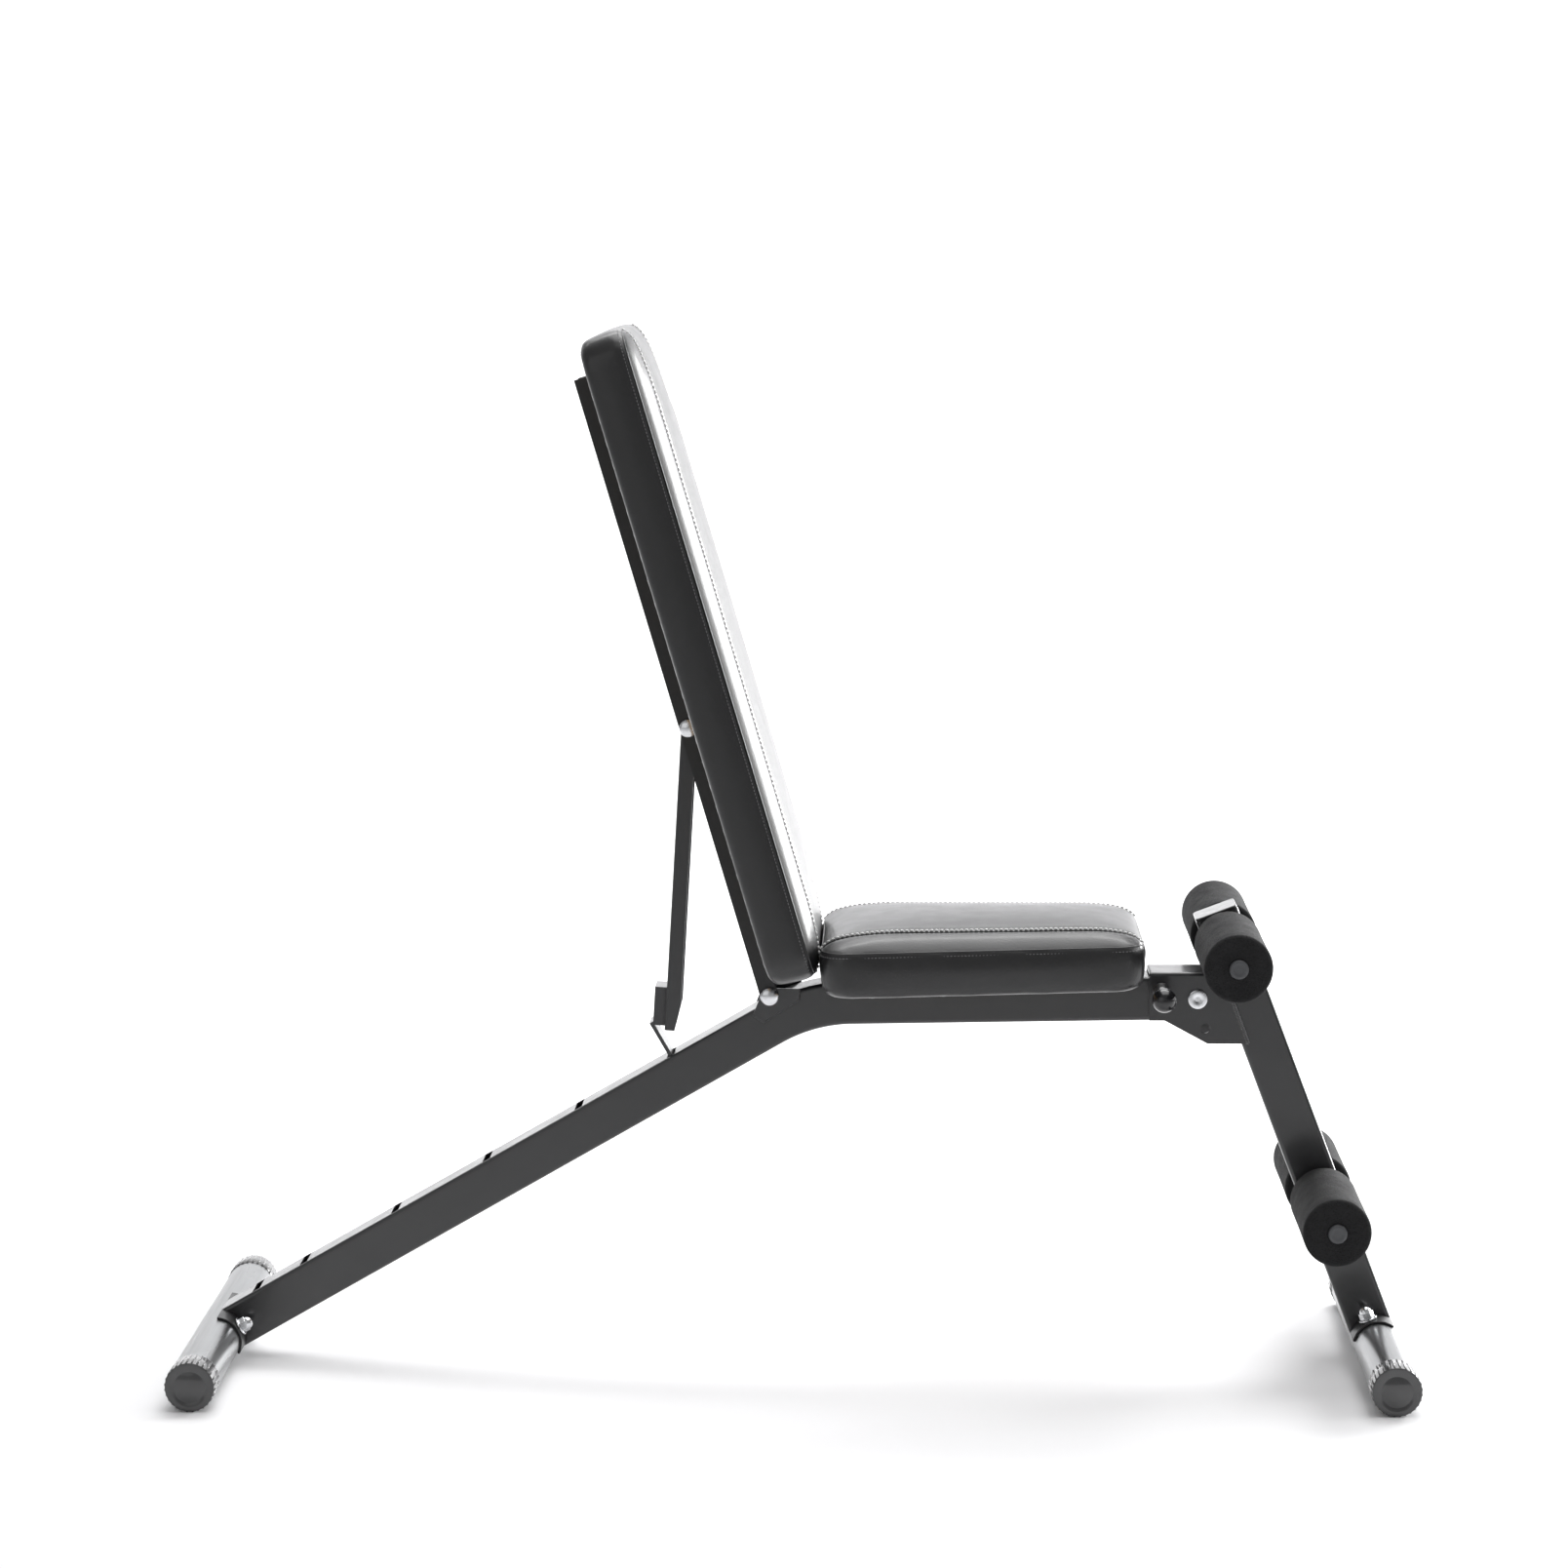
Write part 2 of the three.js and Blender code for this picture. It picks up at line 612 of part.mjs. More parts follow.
function buildBackrest() {
  const flange = new THREE.Shape();
  flange.moveTo(-channelRear, channelTop);
  flange.lineTo(-channelRear, 0);
  flange.absarc(0, 0, channelRear, Math.PI, 2 * Math.PI, false);
  flange.lineTo(channelFront, channelWebStart);
  flange.lineTo(channelFront, channelTop);
  flange.closePath();
  const webBack = channelFront - channelWeb;
  const screwHoles = boardScrewHeights.map((z) => (
    new THREE.CylinderGeometry(boardScrewRadius + 0.6, boardScrewRadius + 0.6, 20, 24)
      .rotateZ(Math.PI / 2).translate(channelFront, 0, z)
  ));
  const channel = cut(
    join(
      plate(flange, -channelOuter, -channelInner),
      plate(flange, channelInner, channelOuter),
      box(webBack, channelFront, -channelInner - 0.5, channelInner + 0.5, channelWebStart, channelTop),
    ),
    barY(0, 0, pivotBoltRadius + turnGap, -tube, tube),
    barY(0, strutPivotHeight, pivotBoltRadius + turnGap, -tube, tube),
    ...screwHoles,
  );
  add('back_channel', onBack(channel), paint);

  const length = backPadTop - backPadBottom;
  const pilots = boardScrewHeights.map((z) => (
    new THREE.CylinderGeometry(boardScrewRadius + seatGap, boardScrewRadius + seatGap, 20, 24)
      .rotateX(Math.PI / 2).translate(z - backPadBottom, 0, 0)
  ));
  const plank = board(length, padHalfWidth, padHalfWidth, seatGap, seatGap + boardThickness, 0);
  add('back_board', againstChannel(cut(plank, ...pilots)), wood, { roughness: 0.8 });
  const pad = cushion(length, padHalfWidth, padHalfWidth, backPadProfile);
  add('back_cushion', againstChannel(pad), vinyl, { roughness: 0.4 });
  boardScrewHeights.forEach((z, k) => {
    const screw = domedBolt(boardScrewRadius, 5, 2.4, boardThickness - 1).rotateZ(-Math.PI / 2)
      .translate(webBack - weldGap, 0, z);
    add(`board_screw_${k + 1}`, onBack(screw), zinc);
  });

  pivotPair('strut_pivot', strutPivot);
  [['near', -1], ['far', 1]].forEach(([side, sign]) => {
    const [y0, y1] = [strutHalfWidth + seatGap, channelInner - seatGap]
      .map((y) => y * sign).sort((p, q) => p - q);
    const spacer = ring(pivotBoltRadius + seatGap, pivotBoltRadius + 3, y0, y1, 0.4, 24);
    add(`strut_spacer_${side}`, spacer.translate(strutPivot.x, 0, strutPivot.y), zinc);
  });
}

function onStrut(geometry) {
  return place(geometry, strutTilt, strutPivot.x, strutPivot.y);
}

function buildStrut() {
  const end = strutStop - strutLength;
  const side = new THREE.Shape();
  side.moveTo(-strutHalfDepth, 0);
  side.lineTo(-strutHalfDepth, end);
  side.lineTo(strutHalfDepth - strutChamfer, end);
  side.lineTo(strutHalfDepth, end + strutStop);
  side.lineTo(strutHalfDepth, 0);
  side.absarc(0, 0, strutHalfDepth, 0, Math.PI, false);
  side.closePath();
  const inside = strutHalfWidth - strutWall;
  const arms = cut(
    join(
      plate(side, -strutHalfWidth, -inside),
      plate(side, inside, strutHalfWidth),
      box(-strutHalfDepth, strutWall - strutHalfDepth, -inside - 0.5, inside + 0.5, end, -strutWebDrop),
    ),
    barY(0, 0, pivotBoltRadius + turnGap, -tube, tube),
  );
  add('strut', onStrut(arms), paint);

  const shoeBottom = shoeRise - strutLength;
  const block = onStrut(box(
    -strutHalfDepth - weldGap - shoeDepth,
    -strutHalfDepth - weldGap,
    -tongueHalfWidth,
    tongueHalfWidth,
    shoeBottom,
    shoeBottom + shoeHeight,
  ));
  const blade = box(
    -tongueThickness / 2,
    tongueThickness / 2,
    -tongueHalfWidth,
    tongueHalfWidth,
    -tongueReach,
    shoeRise + shoeDepth - 1,
  );
  add('strut_shoe', join(block, place(blade, -rearSlope, strutFoot.x, strutFoot.y)), paint);
}

function onLeg(geometry) {
  return place(geometry, -legLean, frontX, footZ);
}

function buildLeg() {
  const rollerHoles = rollerHeights.map((z) => barY(0, z, rollerTubeRadius + weldGap, -tube, tube, 48));
  const bar = cut(squareTube(legLength), barY(0, 0, saddleOuter + weldGap, -tube, tube, 48), ...rollerHoles);
  add('leg_tube', onLeg(bar), paint);
  const plug = new THREE.ExtrudeGeometry(roundedSquare(tube - 1, tubeCorner), {
    depth: 1.4, bevelEnabled: true, bevelThickness: 0.8, bevelSize: 0.8, bevelOffset: -0.8, bevelSegments: 2,
    curveSegments: 2,
  });
  add('leg_top_plug', onLeg(plug.translate(0, 0, legLength + 0.8 + weldGap)), plastic);

  const slope = Math.tan(rad(legLean));
  const lapX = (z) => frontX - (z - footZ) * slope - (half - bracketLap) / Math.cos(rad(legLean));
  const webBottom = foldPivot.y + half + webGap;
  const webTop = webBottom + bracketSheet;
  const cheekBottom = foldPivot.y - half - bracketDepth;
  const cheek = polygon([
    [bracketRear, webTop],
    [bracketRear, foldPivot.y - half],
    [bracketRear + bracketStep, foldPivot.y - half],
    [bracketRear + bracketStep + bracketSlant, cheekBottom],
    [lapX(cheekBottom), cheekBottom],
    [lapX(webTop), webTop],
  ]);
  const pin = foldPivot.clone().add(new THREE.Vector2(...pinOffset));
  const [holeX, holeZ, holeRadius] = storageHole;
  add('fold_bracket', cut(
    join(
      plate(cheek, -cheekOuter, -cheekInner),
      plate(cheek, cheekInner, cheekOuter),
      cut(
        box(bracketRear, frontX, -cheekInner - 0.5, cheekInner + 0.5, webBottom, webTop),
        onLeg(box(-half - 2 * weldGap, frontX, -tube, tube, 0, legLength + tube)),
      ),
    ),
    barY(foldPivot.x, foldPivot.y, foldBoltRadius + turnGap, -tube, tube),
    barY(foldPivot.x + holeX, foldPivot.y + holeZ, holeRadius, -tube, tube),
    barY(pin.x, pin.y, pinRadius + turnGap, -tube, 0),
  ), paint);

  const headY = -cheekOuter - seatGap;
  const bolt = turned([
    [0, headY - foldHeadHeight],
    [foldHeadRadius - 1, headY - foldHeadHeight],
    [foldHeadRadius, headY - 0.75 * foldHeadHeight],
    [foldHeadRadius, headY],
    [foldBoltRadius, headY],
    [foldBoltRadius, cheekOuter + 0.72 * foldNutHeight - 1],
    [0, cheekOuter + 0.72 * foldNutHeight - 1],
  ], 32);
  add('fold_bolt', bolt.translate(foldPivot.x, 0, foldPivot.y), zinc);
  const nut = capNut(foldBoltRadius, foldHeadRadius, foldNutHeight)
    .translate(foldPivot.x, cheekOuter + seatGap, foldPivot.y);
  add('fold_nut', nut, zinc);

  const barrel = turned([
    [pinRadius + turnGap, -cheekOuter - weldGap],
    [pinRadius + turnGap, -cheekOuter - barrelLength],
    [barrelRadius - 0.8, -cheekOuter - barrelLength],
    [barrelRadius, -cheekOuter - barrelLength + 1],
    [barrelRadius, -cheekOuter - 4],
    [barrelFlange, -cheekOuter - 3],
    [barrelFlange, -cheekOuter - weldGap],
    [pinRadius + turnGap, -cheekOuter - weldGap],
  ]);
  add('pin_barrel', barrel.translate(pin.x, 0, pin.y), plastic);
  const stemEnd = knobCentreY + knobRadius * 0.3;
  const stem = turned([
    [0, stemEnd],
    [pinRadius, stemEnd],
    [pinRadius, -half - pinTip],
    [pinRadius - 1, -half - seatGap],
    [0, -half - seatGap],
  ]);
  add('lock_pin', stem.translate(pin.x, 0, pin.y), zinc);
  const ball = new THREE.SphereGeometry(knobRadius, 20, 12).translate(pin.x, knobCentreY, pin.y);
  const collar = barY(pin.x, pin.y, pinRadius + 3, knobCentreY, knobCentreY + knobRadius + 2.5);
  const socket = barY(pin.x, pin.y, pinRadius + weldGap, stemEnd - 0.3, 0);
  add('pin_knob', cut(join(ball, collar), socket), plastic, { roughness: 0.2 });
}

function buildRollers() {
  const outerEnd = rollerInner + rollerLength;
  [['upper', rollerHeights[0]], ['lower', rollerHeights[1]]].forEach(([level, z]) => {
    const bore = rollerTubeRadius - rollerTubeWall;
    const pipe = ring(bore, rollerTubeRadius, -outerEnd - 1, outerEnd + 1, 0.2);
    add(`${level}_roller_tube`, onLeg(pipe.translate(0, 0, z)), paint);
    [['near', -1], ['far', 1]].forEach(([side, sign]) => {
      const plug = turned([
        [0, -9],
        [bore - seatGap, -9],
        [bore - seatGap, weldGap],
        [rollerTubeRadius, weldGap],
        [rollerTubeRadius, 1.6],
        [rollerTubeRadius - 1.4, 2.6],
        [0, 2.9],
      ]);
      if (sign < 0) plug.rotateX(Math.PI);
      add(`${level}_plug_${side}`, onLeg(plug.translate(0, sign * (outerEnd + 1), z)), 0x8f9296);
      const [y0, y1] = [sign * rollerInner, sign * outerEnd].sort((p, q) => p - q);
      const foam = ring(rollerTubeRadius + turnGap, rollerRadius, y0, y1, 4, 40);
      add(`${level}_roller_${side}`, onLeg(foam.translate(0, 0, z)), 0x202022, { roughness: 0.95 });
    });
  });
}

buildMainFrame();
buildSeat();
buildFoot('rear', rearX, rearTilt);
buildFoot('front', frontX, -legLean);
buildBackPivot();
buildBackrest();
buildStrut();
buildLeg();
buildRollers();

export default group;
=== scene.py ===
"""Adjustable weight bench: the visible pieces, their finishes, the studio and the camera."""

import json
import logging
import math
from collections.abc import Iterable, Sequence
from dataclasses import dataclass, field
from enum import Enum

import bmesh
import bpy
from mathutils import Matrix, Vector
from mathutils.bvhtree import BVHTree


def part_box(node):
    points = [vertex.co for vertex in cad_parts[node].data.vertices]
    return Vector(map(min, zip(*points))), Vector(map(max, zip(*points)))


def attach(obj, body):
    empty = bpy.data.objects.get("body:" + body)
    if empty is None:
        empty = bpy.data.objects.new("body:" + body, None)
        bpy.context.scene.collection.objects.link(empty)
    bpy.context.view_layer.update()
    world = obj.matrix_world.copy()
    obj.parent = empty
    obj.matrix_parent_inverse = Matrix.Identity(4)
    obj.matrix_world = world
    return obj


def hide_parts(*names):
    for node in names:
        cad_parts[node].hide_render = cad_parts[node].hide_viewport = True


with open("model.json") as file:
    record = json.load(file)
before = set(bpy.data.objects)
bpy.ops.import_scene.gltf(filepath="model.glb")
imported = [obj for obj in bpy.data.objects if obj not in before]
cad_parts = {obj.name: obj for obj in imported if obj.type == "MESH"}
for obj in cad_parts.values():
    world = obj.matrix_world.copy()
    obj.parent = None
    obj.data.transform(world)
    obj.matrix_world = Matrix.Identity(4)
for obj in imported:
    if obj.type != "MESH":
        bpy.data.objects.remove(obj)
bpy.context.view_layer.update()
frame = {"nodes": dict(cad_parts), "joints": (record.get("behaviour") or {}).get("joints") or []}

LOG = logging.getLogger("weight_bench")
MM = 0.001

# Half the length of a cutter that goes right through, in millimetres.
THROUGH = 60.0

Outline = list[tuple[float, float]]


class Side(Enum):
    """Which side of the mid-plane a paired piece is on."""

    NEAR = -1
    FAR = 1

    @property
    def word(self) -> str:
        """Lower-case name used in piece names."""
        return self.name.lower()


class Body(Enum):
    """Rigid bodies that pieces ride on."""

    FRAME = "frame"
    BACKREST = "backrest"
    STRUT = "strut"
    LEG = "leg"
    PIN = "pin"


# ---------------------------------------------------------------------------------------
# Axes


@dataclass(frozen=True)
class Axes:
    """A working frame turned about Y: local x, y, z in millimetres to the row frame in metres."""

    origin: Vector
    tilt: float = 0.0

    def matrix(self) -> Matrix:
        """Full transform, millimetres included."""
        turn = Matrix.Rotation(math.radians(self.tilt), 4, "Y")
        return Matrix.Translation(self.origin) @ turn @ Matrix.Scale(MM, 4)

    def point(self, x: float, y: float, z: float) -> Vector:
        """Row-frame point of a local position."""
        return self.matrix() @ Vector((x, y, z))


def joint_place(name: str) -> Vector:
    """Place of a joint in the row frame.

    Args:
        name: The joint's name in the record.

    Returns:
        The joint's position in metres, on the mid-plane.
    """
    for joint in frame["joints"]:
        if joint["name"] == name:
            x, _, z = joint["pos_m"]
            return Vector((x, 0.0, z))
    raise KeyError(name)


def box_middle(node: str) -> Vector:
    """Middle of a CAD node's box, moved to the mid-plane.

    Args:
        node: Name of the CAD node.

    Returns:
        The middle of its box in metres, with y at zero.
    """
    low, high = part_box(node)
    middle = (low + high) / 2
    return Vector((middle.x, 0.0, middle.z))


def span_y(node: str) -> tuple[float, float]:
    """Near and far ends of a CAD node in millimetres."""
    low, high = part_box(node)
    return low.y / MM, high.y / MM


def tilt_of(low: Vector, high: Vector) -> float:
    """Turn about Y, in degrees, that carries +Z onto the line from low to high."""
    run = high - low
    return math.degrees(math.atan2(run.x, run.z))


# ---------------------------------------------------------------------------------------
# Shader graph and finishes


class Graph:
    """Small helper around a material's node tree."""

    def __init__(self, name: str) -> None:
        """Start an empty material with a Principled shader.

        Args:
            name: Name of the material.
        """
        self.material = bpy.data.materials.new(name)
        self.material.use_nodes = True
        self.tree = self.material.node_tree
        self.shader = self.tree.nodes["Principled BSDF"]
        self.place = self.add("ShaderNodeTexCoord").outputs["Object"]

    def add(self, kind: str, **settings: object) -> bpy.types.Node:
        """Add a node and set its properties.

        Args:
            kind: Node type name.
            **settings: Attributes of the node.

        Returns:
            The new node.
        """
        node = self.tree.nodes.new(kind)
        for key, value in settings.items():
            setattr(node, key, value)
        return node

    def link(self, source: bpy.types.NodeSocket, target: bpy.types.NodeSocket) -> None:
        """Join two sockets."""
        self.tree.links.new(source, target)

    def stretched(self, scale: tuple[float, float, float], turn: float = 0.0) -> bpy.types.NodeSocket:
        """Object coordinates turned about Y and scaled on each axis.

        Args:
            scale: Scale on each axis.
            turn: Turn about Y in degrees.

        Returns:
            The vector socket.
        """
        node = self.add("ShaderNodeMapping")
        node.inputs["Rotation"].default_value = (0.0, math.radians(turn), 0.0)
        node.inputs["Scale"].default_value = scale
        self.link(self.place, node.inputs["Vector"])
        return node.outputs["Vector"]

    def noise(
        self,
        scale: float,
        detail: float = 3.0,
        rough: float = 0.5,
        vector: bpy.types.NodeSocket | None = None,
    ) -> bpy.types.NodeSocket:
        """Noise texture value on Object coordinates or on the given vector.

        Args:
            scale: Size of the pattern, larger is finer.
            detail: Octaves.
            rough: Share of the finer octaves.
            vector: Coordinates to use instead of the object's own.

        Returns:
            The value socket.
        """
        node = self.add("ShaderNodeTexNoise")
        node.inputs["Scale"].default_value = scale
        node.inputs["Detail"].default_value = detail
        node.inputs["Roughness"].default_value = rough
        self.link(vector or self.place, node.inputs["Vector"])
        return node.outputs["Fac"]

    def cells(self, scale: float, feature: str = "F1") -> bpy.types.NodeSocket:
        """Voronoi distance on Object coordinates.

        Args:
            scale: Size of the pattern, larger is finer.
            feature: Kind of cell distance.

        Returns:
            The distance socket.
        """
        node = self.add("ShaderNodeTexVoronoi", feature=feature)
        node.inputs["Scale"].default_value = scale
        self.link(self.place, node.inputs["Vector"])
        return node.outputs["Distance"]

    def remap(
        self,
        value: bpy.types.NodeSocket,
        low: float,
        high: float,
        a: float,
        b: float,
    ) -> bpy.types.NodeSocket:
        """Map a value from low..high to a..b, clamped.

        Args:
            value: Value to map.
            low: Start of the input range.
            high: End of the input range.
            a: Result at the start.
            b: Result at the end.

        Returns:
            The result socket.
        """
        node = self.add("ShaderNodeMapRange")
        for key, number in zip(("From Min", "From Max", "To Min", "To Max"), (low, high, a, b)):
            node.inputs[key].default_value = number
        self.link(value, node.inputs["Value"])
        return node.outputs["Result"]

    def blend(
        self,
        value: bpy.types.NodeSocket,
        dark: Sequence[float],
        light: Sequence[float],
    ) -> bpy.types.NodeSocket:
        """Colour between two colours by a value.

        Args:
            value: Share of the light colour.
            dark: Colour at zero.
            light: Colour at one.

        Returns:
            The colour socket.
        """
        node = self.add("ShaderNodeMix", data_type="RGBA")
        node.inputs[6].default_value = (*dark, 1.0)
        node.inputs[7].default_value = (*light, 1.0)
        self.link(value, node.inputs[0])
        return node.outputs[2]

    def bump(
        self,
        height: bpy.types.NodeSocket,
        strength: float,
        distance: float,
        under: bpy.types.NodeSocket | None = None,
    ) -> bpy.types.NodeSocket:
        """Bump normal from a height, on top of another normal.

        Args:
            height: Height of the surface.
            strength: Strength of the effect.
            distance: Height of the bumps in metres.
            under: Normal that it is laid on.

        Returns:
            The normal socket.
        """
        node = self.add("ShaderNodeBump")
        node.inputs["Strength"].default_value = strength
        node.inputs["Distance"].default_value = distance
        self.link(height, node.inputs["Height"])
        if under is not None:
            self.link(under, node.inputs["Normal"])
        return node.outputs["Normal"]

    def finish(self, **values: object) -> bpy.types.Material:
        """Set or link the shader's inputs.

        Args:
            **values: Input names with spaces as underscores; sockets are linked, numbers set.

        Returns:
            The finished material.
        """
        for key, value in values.items():
            socket = self.shader.inputs[key.replace("_", " ")]
            if isinstance(value, bpy.types.NodeSocket):
                self.link(value, socket)
            else:
                socket.default_value = value
        return self.material


@dataclass(frozen=True)
class Paint:
    """Semi-gloss powder coat with a fine orange peel."""

    name: str = "frame_paint"
    dark: tuple[float, float, float] = (0.010, 0.010, 0.011)
    light: tuple[float, float, float] = (0.017, 0.017, 0.0185)
    gloss: tuple[float, float] = (0.30, 0.40)
    coat: float = 0.65

    def build(self) -> bpy.types.Material:
        """Make the material.

        Returns:
            The finished material.
        """
        g = Graph(self.name)
        cloud = g.noise(9.0, 4.0)
        peel = g.bump(g.noise(1500.0, 2.0), 0.10, 0.0004)
        soft = g.bump(g.noise(210.0, 2.0), 0.05, 0.0008, peel)
        return g.finish(
            Base_Color=g.blend(cloud, self.dark, self.light),
            Roughness=g.remap(g.noise(34.0, 5.0), 0.35, 0.65, *self.gloss),
            Normal=soft,
            IOR=1.5,
            Coat_Weight=self.coat,
            Coat_Roughness=0.14,
        )


@dataclass(frozen=True)
class Metal:
    """Plated or bare metal with faint drawing lines along one axis."""

    name: str
    tone: tuple[float, float, float]
    gloss: tuple[float, float]
    grain: tuple[float, float, float] = (1.0, 1.0, 1.0)
    depth: float = 0.03

    def build(self) -> bpy.types.Material:
        """Make the material.

        Returns:
            The finished material.
        """
        g = Graph(self.name)
        lines = g.noise(260.0, 4.0, 0.6, g.stretched(self.grain))
        dull = tuple(channel * 0.86 for channel in self.tone)
        return g.finish(
            Base_Color=g.blend(g.noise(22.0, 3.0), dull, self.tone),
            Metallic=1.0,
            Roughness=g.remap(lines, 0.3, 0.7, *self.gloss),
            Normal=g.bump(lines, self.depth, 0.0002),
        )


@dataclass(frozen=True)
class Vinyl:
    """Grained upholstery vinyl."""

    name: str = "vinyl"
    dark: tuple[float, float, float] = (0.0080, 0.0080, 0.0086)
    light: tuple[float, float, float] = (0.0135, 0.0135, 0.0145)

    def build(self) -> bpy.types.Material:
        """Make the material.

        Returns:
            The finished material.
        """
        g = Graph(self.name)
        pebble = g.bump(g.cells(620.0, "SMOOTH_F1"), 0.22, 0.0006)
        crease = g.bump(g.noise(330.0, 5.0, 0.62), 0.14, 0.0005, pebble)
        drape = g.bump(g.noise(11.0, 2.0), 0.04, 0.0020, crease)
        return g.finish(
            Base_Color=g.blend(g.noise(7.0, 4.0), self.dark, self.light),
            Roughness=g.remap(g.noise(45.0, 4.0), 0.3, 0.7, 0.36, 0.42),
            Normal=drape,
            IOR=1.5,
            Coat_Weight=0.3,
            Coat_Roughness=0.16,
        )


@dataclass(frozen=True)
class Foam:
    """Closed-cell foam skin with small open pores."""

    name: str = "foam"
    dark: tuple[float, float, float] = (0.006, 0.006, 0.0063)
    light: tuple[float, float, float] = (0.014, 0.014, 0.0148)

    def build(self) -> bpy.types.Material:
        """Make the material.

        Returns:
            The finished material.
        """
        g = Graph(self.name)
        # Pore hollows get the darker colour: painted shade in the pores, on top of the bump that sinks them.
        pore = g.remap(g.cells(560.0), 0.10, 0.50, 0.0, 1.0)
        skin = g.bump(pore, 0.6, 0.0007)
        rough = g.bump(g.noise(300.0, 6.0, 0.7), 0.4, 0.0009, skin)
        return g.finish(
            Base_Color=g.blend(pore, self.dark, self.light),
            Roughness=g.remap(g.noise(60.0, 3.0), 0.3, 0.7, 0.78, 0.94),
            Normal=rough,
            Specular_IOR_Level=0.25,
            Sheen_Weight=0.02,
            Sheen_Roughness=0.5,
        )


@dataclass(frozen=True)
class Plastic:
    """Moulded plastic with a spark-eroded texture."""

    name: str
    tone: tuple[float, float, float]
    gloss: tuple[float, float] = (0.42, 0.56)
    texture: float = 0.12
    coat: float = 0.0
    coat_rough: float = 0.14

    def build(self) -> bpy.types.Material:
        """Make the material.

        Returns:
            The finished material.
        """
        g = Graph(self.name)
        light = tuple(min(1.0, channel * 1.35) for channel in self.tone)
        return g.finish(
            Base_Color=g.blend(g.noise(30.0, 3.0), self.tone, light),
            Roughness=g.remap(g.noise(90.0, 4.0), 0.3, 0.7, *self.gloss),
            Normal=g.bump(g.noise(1300.0, 3.0), self.texture, 0.0003),
            Coat_Weight=self.coat,
            Coat_Roughness=self.coat_rough,
        )


@dataclass(frozen=True)
class Plywood:
    """Rotary-cut veneer with long grain."""

    name: str = "plywood"
    dark: tuple[float, float, float] = (0.20, 0.125, 0.062)
    light: tuple[float, float, float] = (0.46, 0.33, 0.19)

    def build(self) -> bpy.types.Material:
        """Make the material.

        Returns:
            The finished material.
        """
        g = Graph(self.name)
        streak = g.noise(34.0, 6.0, 0.62, g.stretched((3.0, 14.0, 0.7), 16.4))
        fine = g.noise(300.0, 3.0, 0.5, g.stretched((1.0, 6.0, 0.25), 16.4))
        return g.finish(
            Base_Color=g.blend(g.remap(streak, 0.34, 0.68, 0.0, 1.0), self.dark, self.light),
            Roughness=g.remap(fine, 0.3, 0.7, 0.62, 0.82),
            Normal=g.bump(fine, 0.25, 0.0004),
        )


@dataclass(frozen=True)
class Thread:
    """Twisted polyester sewing thread."""

    name: str = "thread"
    dark: tuple[float, float, float] = (0.80, 0.80, 0.79)
    light: tuple[float, float, float] = (0.95, 0.95, 0.94)

    def build(self) -> bpy.types.Material:
        """Make the material.

        Returns:
            The finished material.
        """
        g = Graph(self.name)
        # The twist pattern raises the strands and also darkens the hollows between them: painted shade.
        twist = g.noise(1900.0, 2.0)
        return g.finish(
            Base_Color=g.blend(twist, self.dark, self.light),
            Roughness=g.remap(twist, 0.3, 0.7, 0.55, 0.75),
            Normal=g.bump(twist, 0.3, 0.0003),
            Sheen_Weight=0.3,
        )


@dataclass(frozen=True)
class Backdrop:
    """Pale matt studio floor."""

    name: str = "studio_floor"
    tone: tuple[float, float, float] = (0.86, 0.86, 0.87)

    def build(self) -> bpy.types.Material:
        """Make the material.

        Returns:
            The finished material.
        """
        g = Graph(self.name)
        light = tuple(min(1.0, channel * 1.02) for channel in self.tone)
        return g.finish(
            Base_Color=g.blend(g.noise(1.3, 2.0), self.tone, light),
            Roughness=g.remap(g.noise(5.0, 2.0), 0.3, 0.7, 0.55, 0.62),
        )


class Finish(Enum):
    """Every finish on the bench, with the record's material slot it answers to."""

    PAINT = "frame_paint"
    CHROME = "foot_chrome"
    ZINC = "zinc"
    VINYL = "vinyl"
    WOOD = "plywood"
    BLACK = "black_plastic"
    GREY = "grey_plastic"
    BALL = "knob_plastic"
    FOAM = "foam"
    THREAD = "thread"
    DARK_THREAD = "dark_thread"
    SEAM = "seam_groove_shade"
    SHADED_PAINT = "shaded_channel_paint"
    WELD_PAINT = "weld_paint"

    @property
    def slot(self) -> str:
        """Material slot of the record that the finish belongs to.

        Returns:
            Name of the slot.
        """
        shared = {
            Finish.THREAD: Finish.VINYL,
            Finish.DARK_THREAD: Finish.VINYL,
            Finish.SEAM: Finish.VINYL,
            Finish.SHADED_PAINT: Finish.PAINT,
            Finish.WELD_PAINT: Finish.PAINT,
        }
        return shared.get(self, self).value


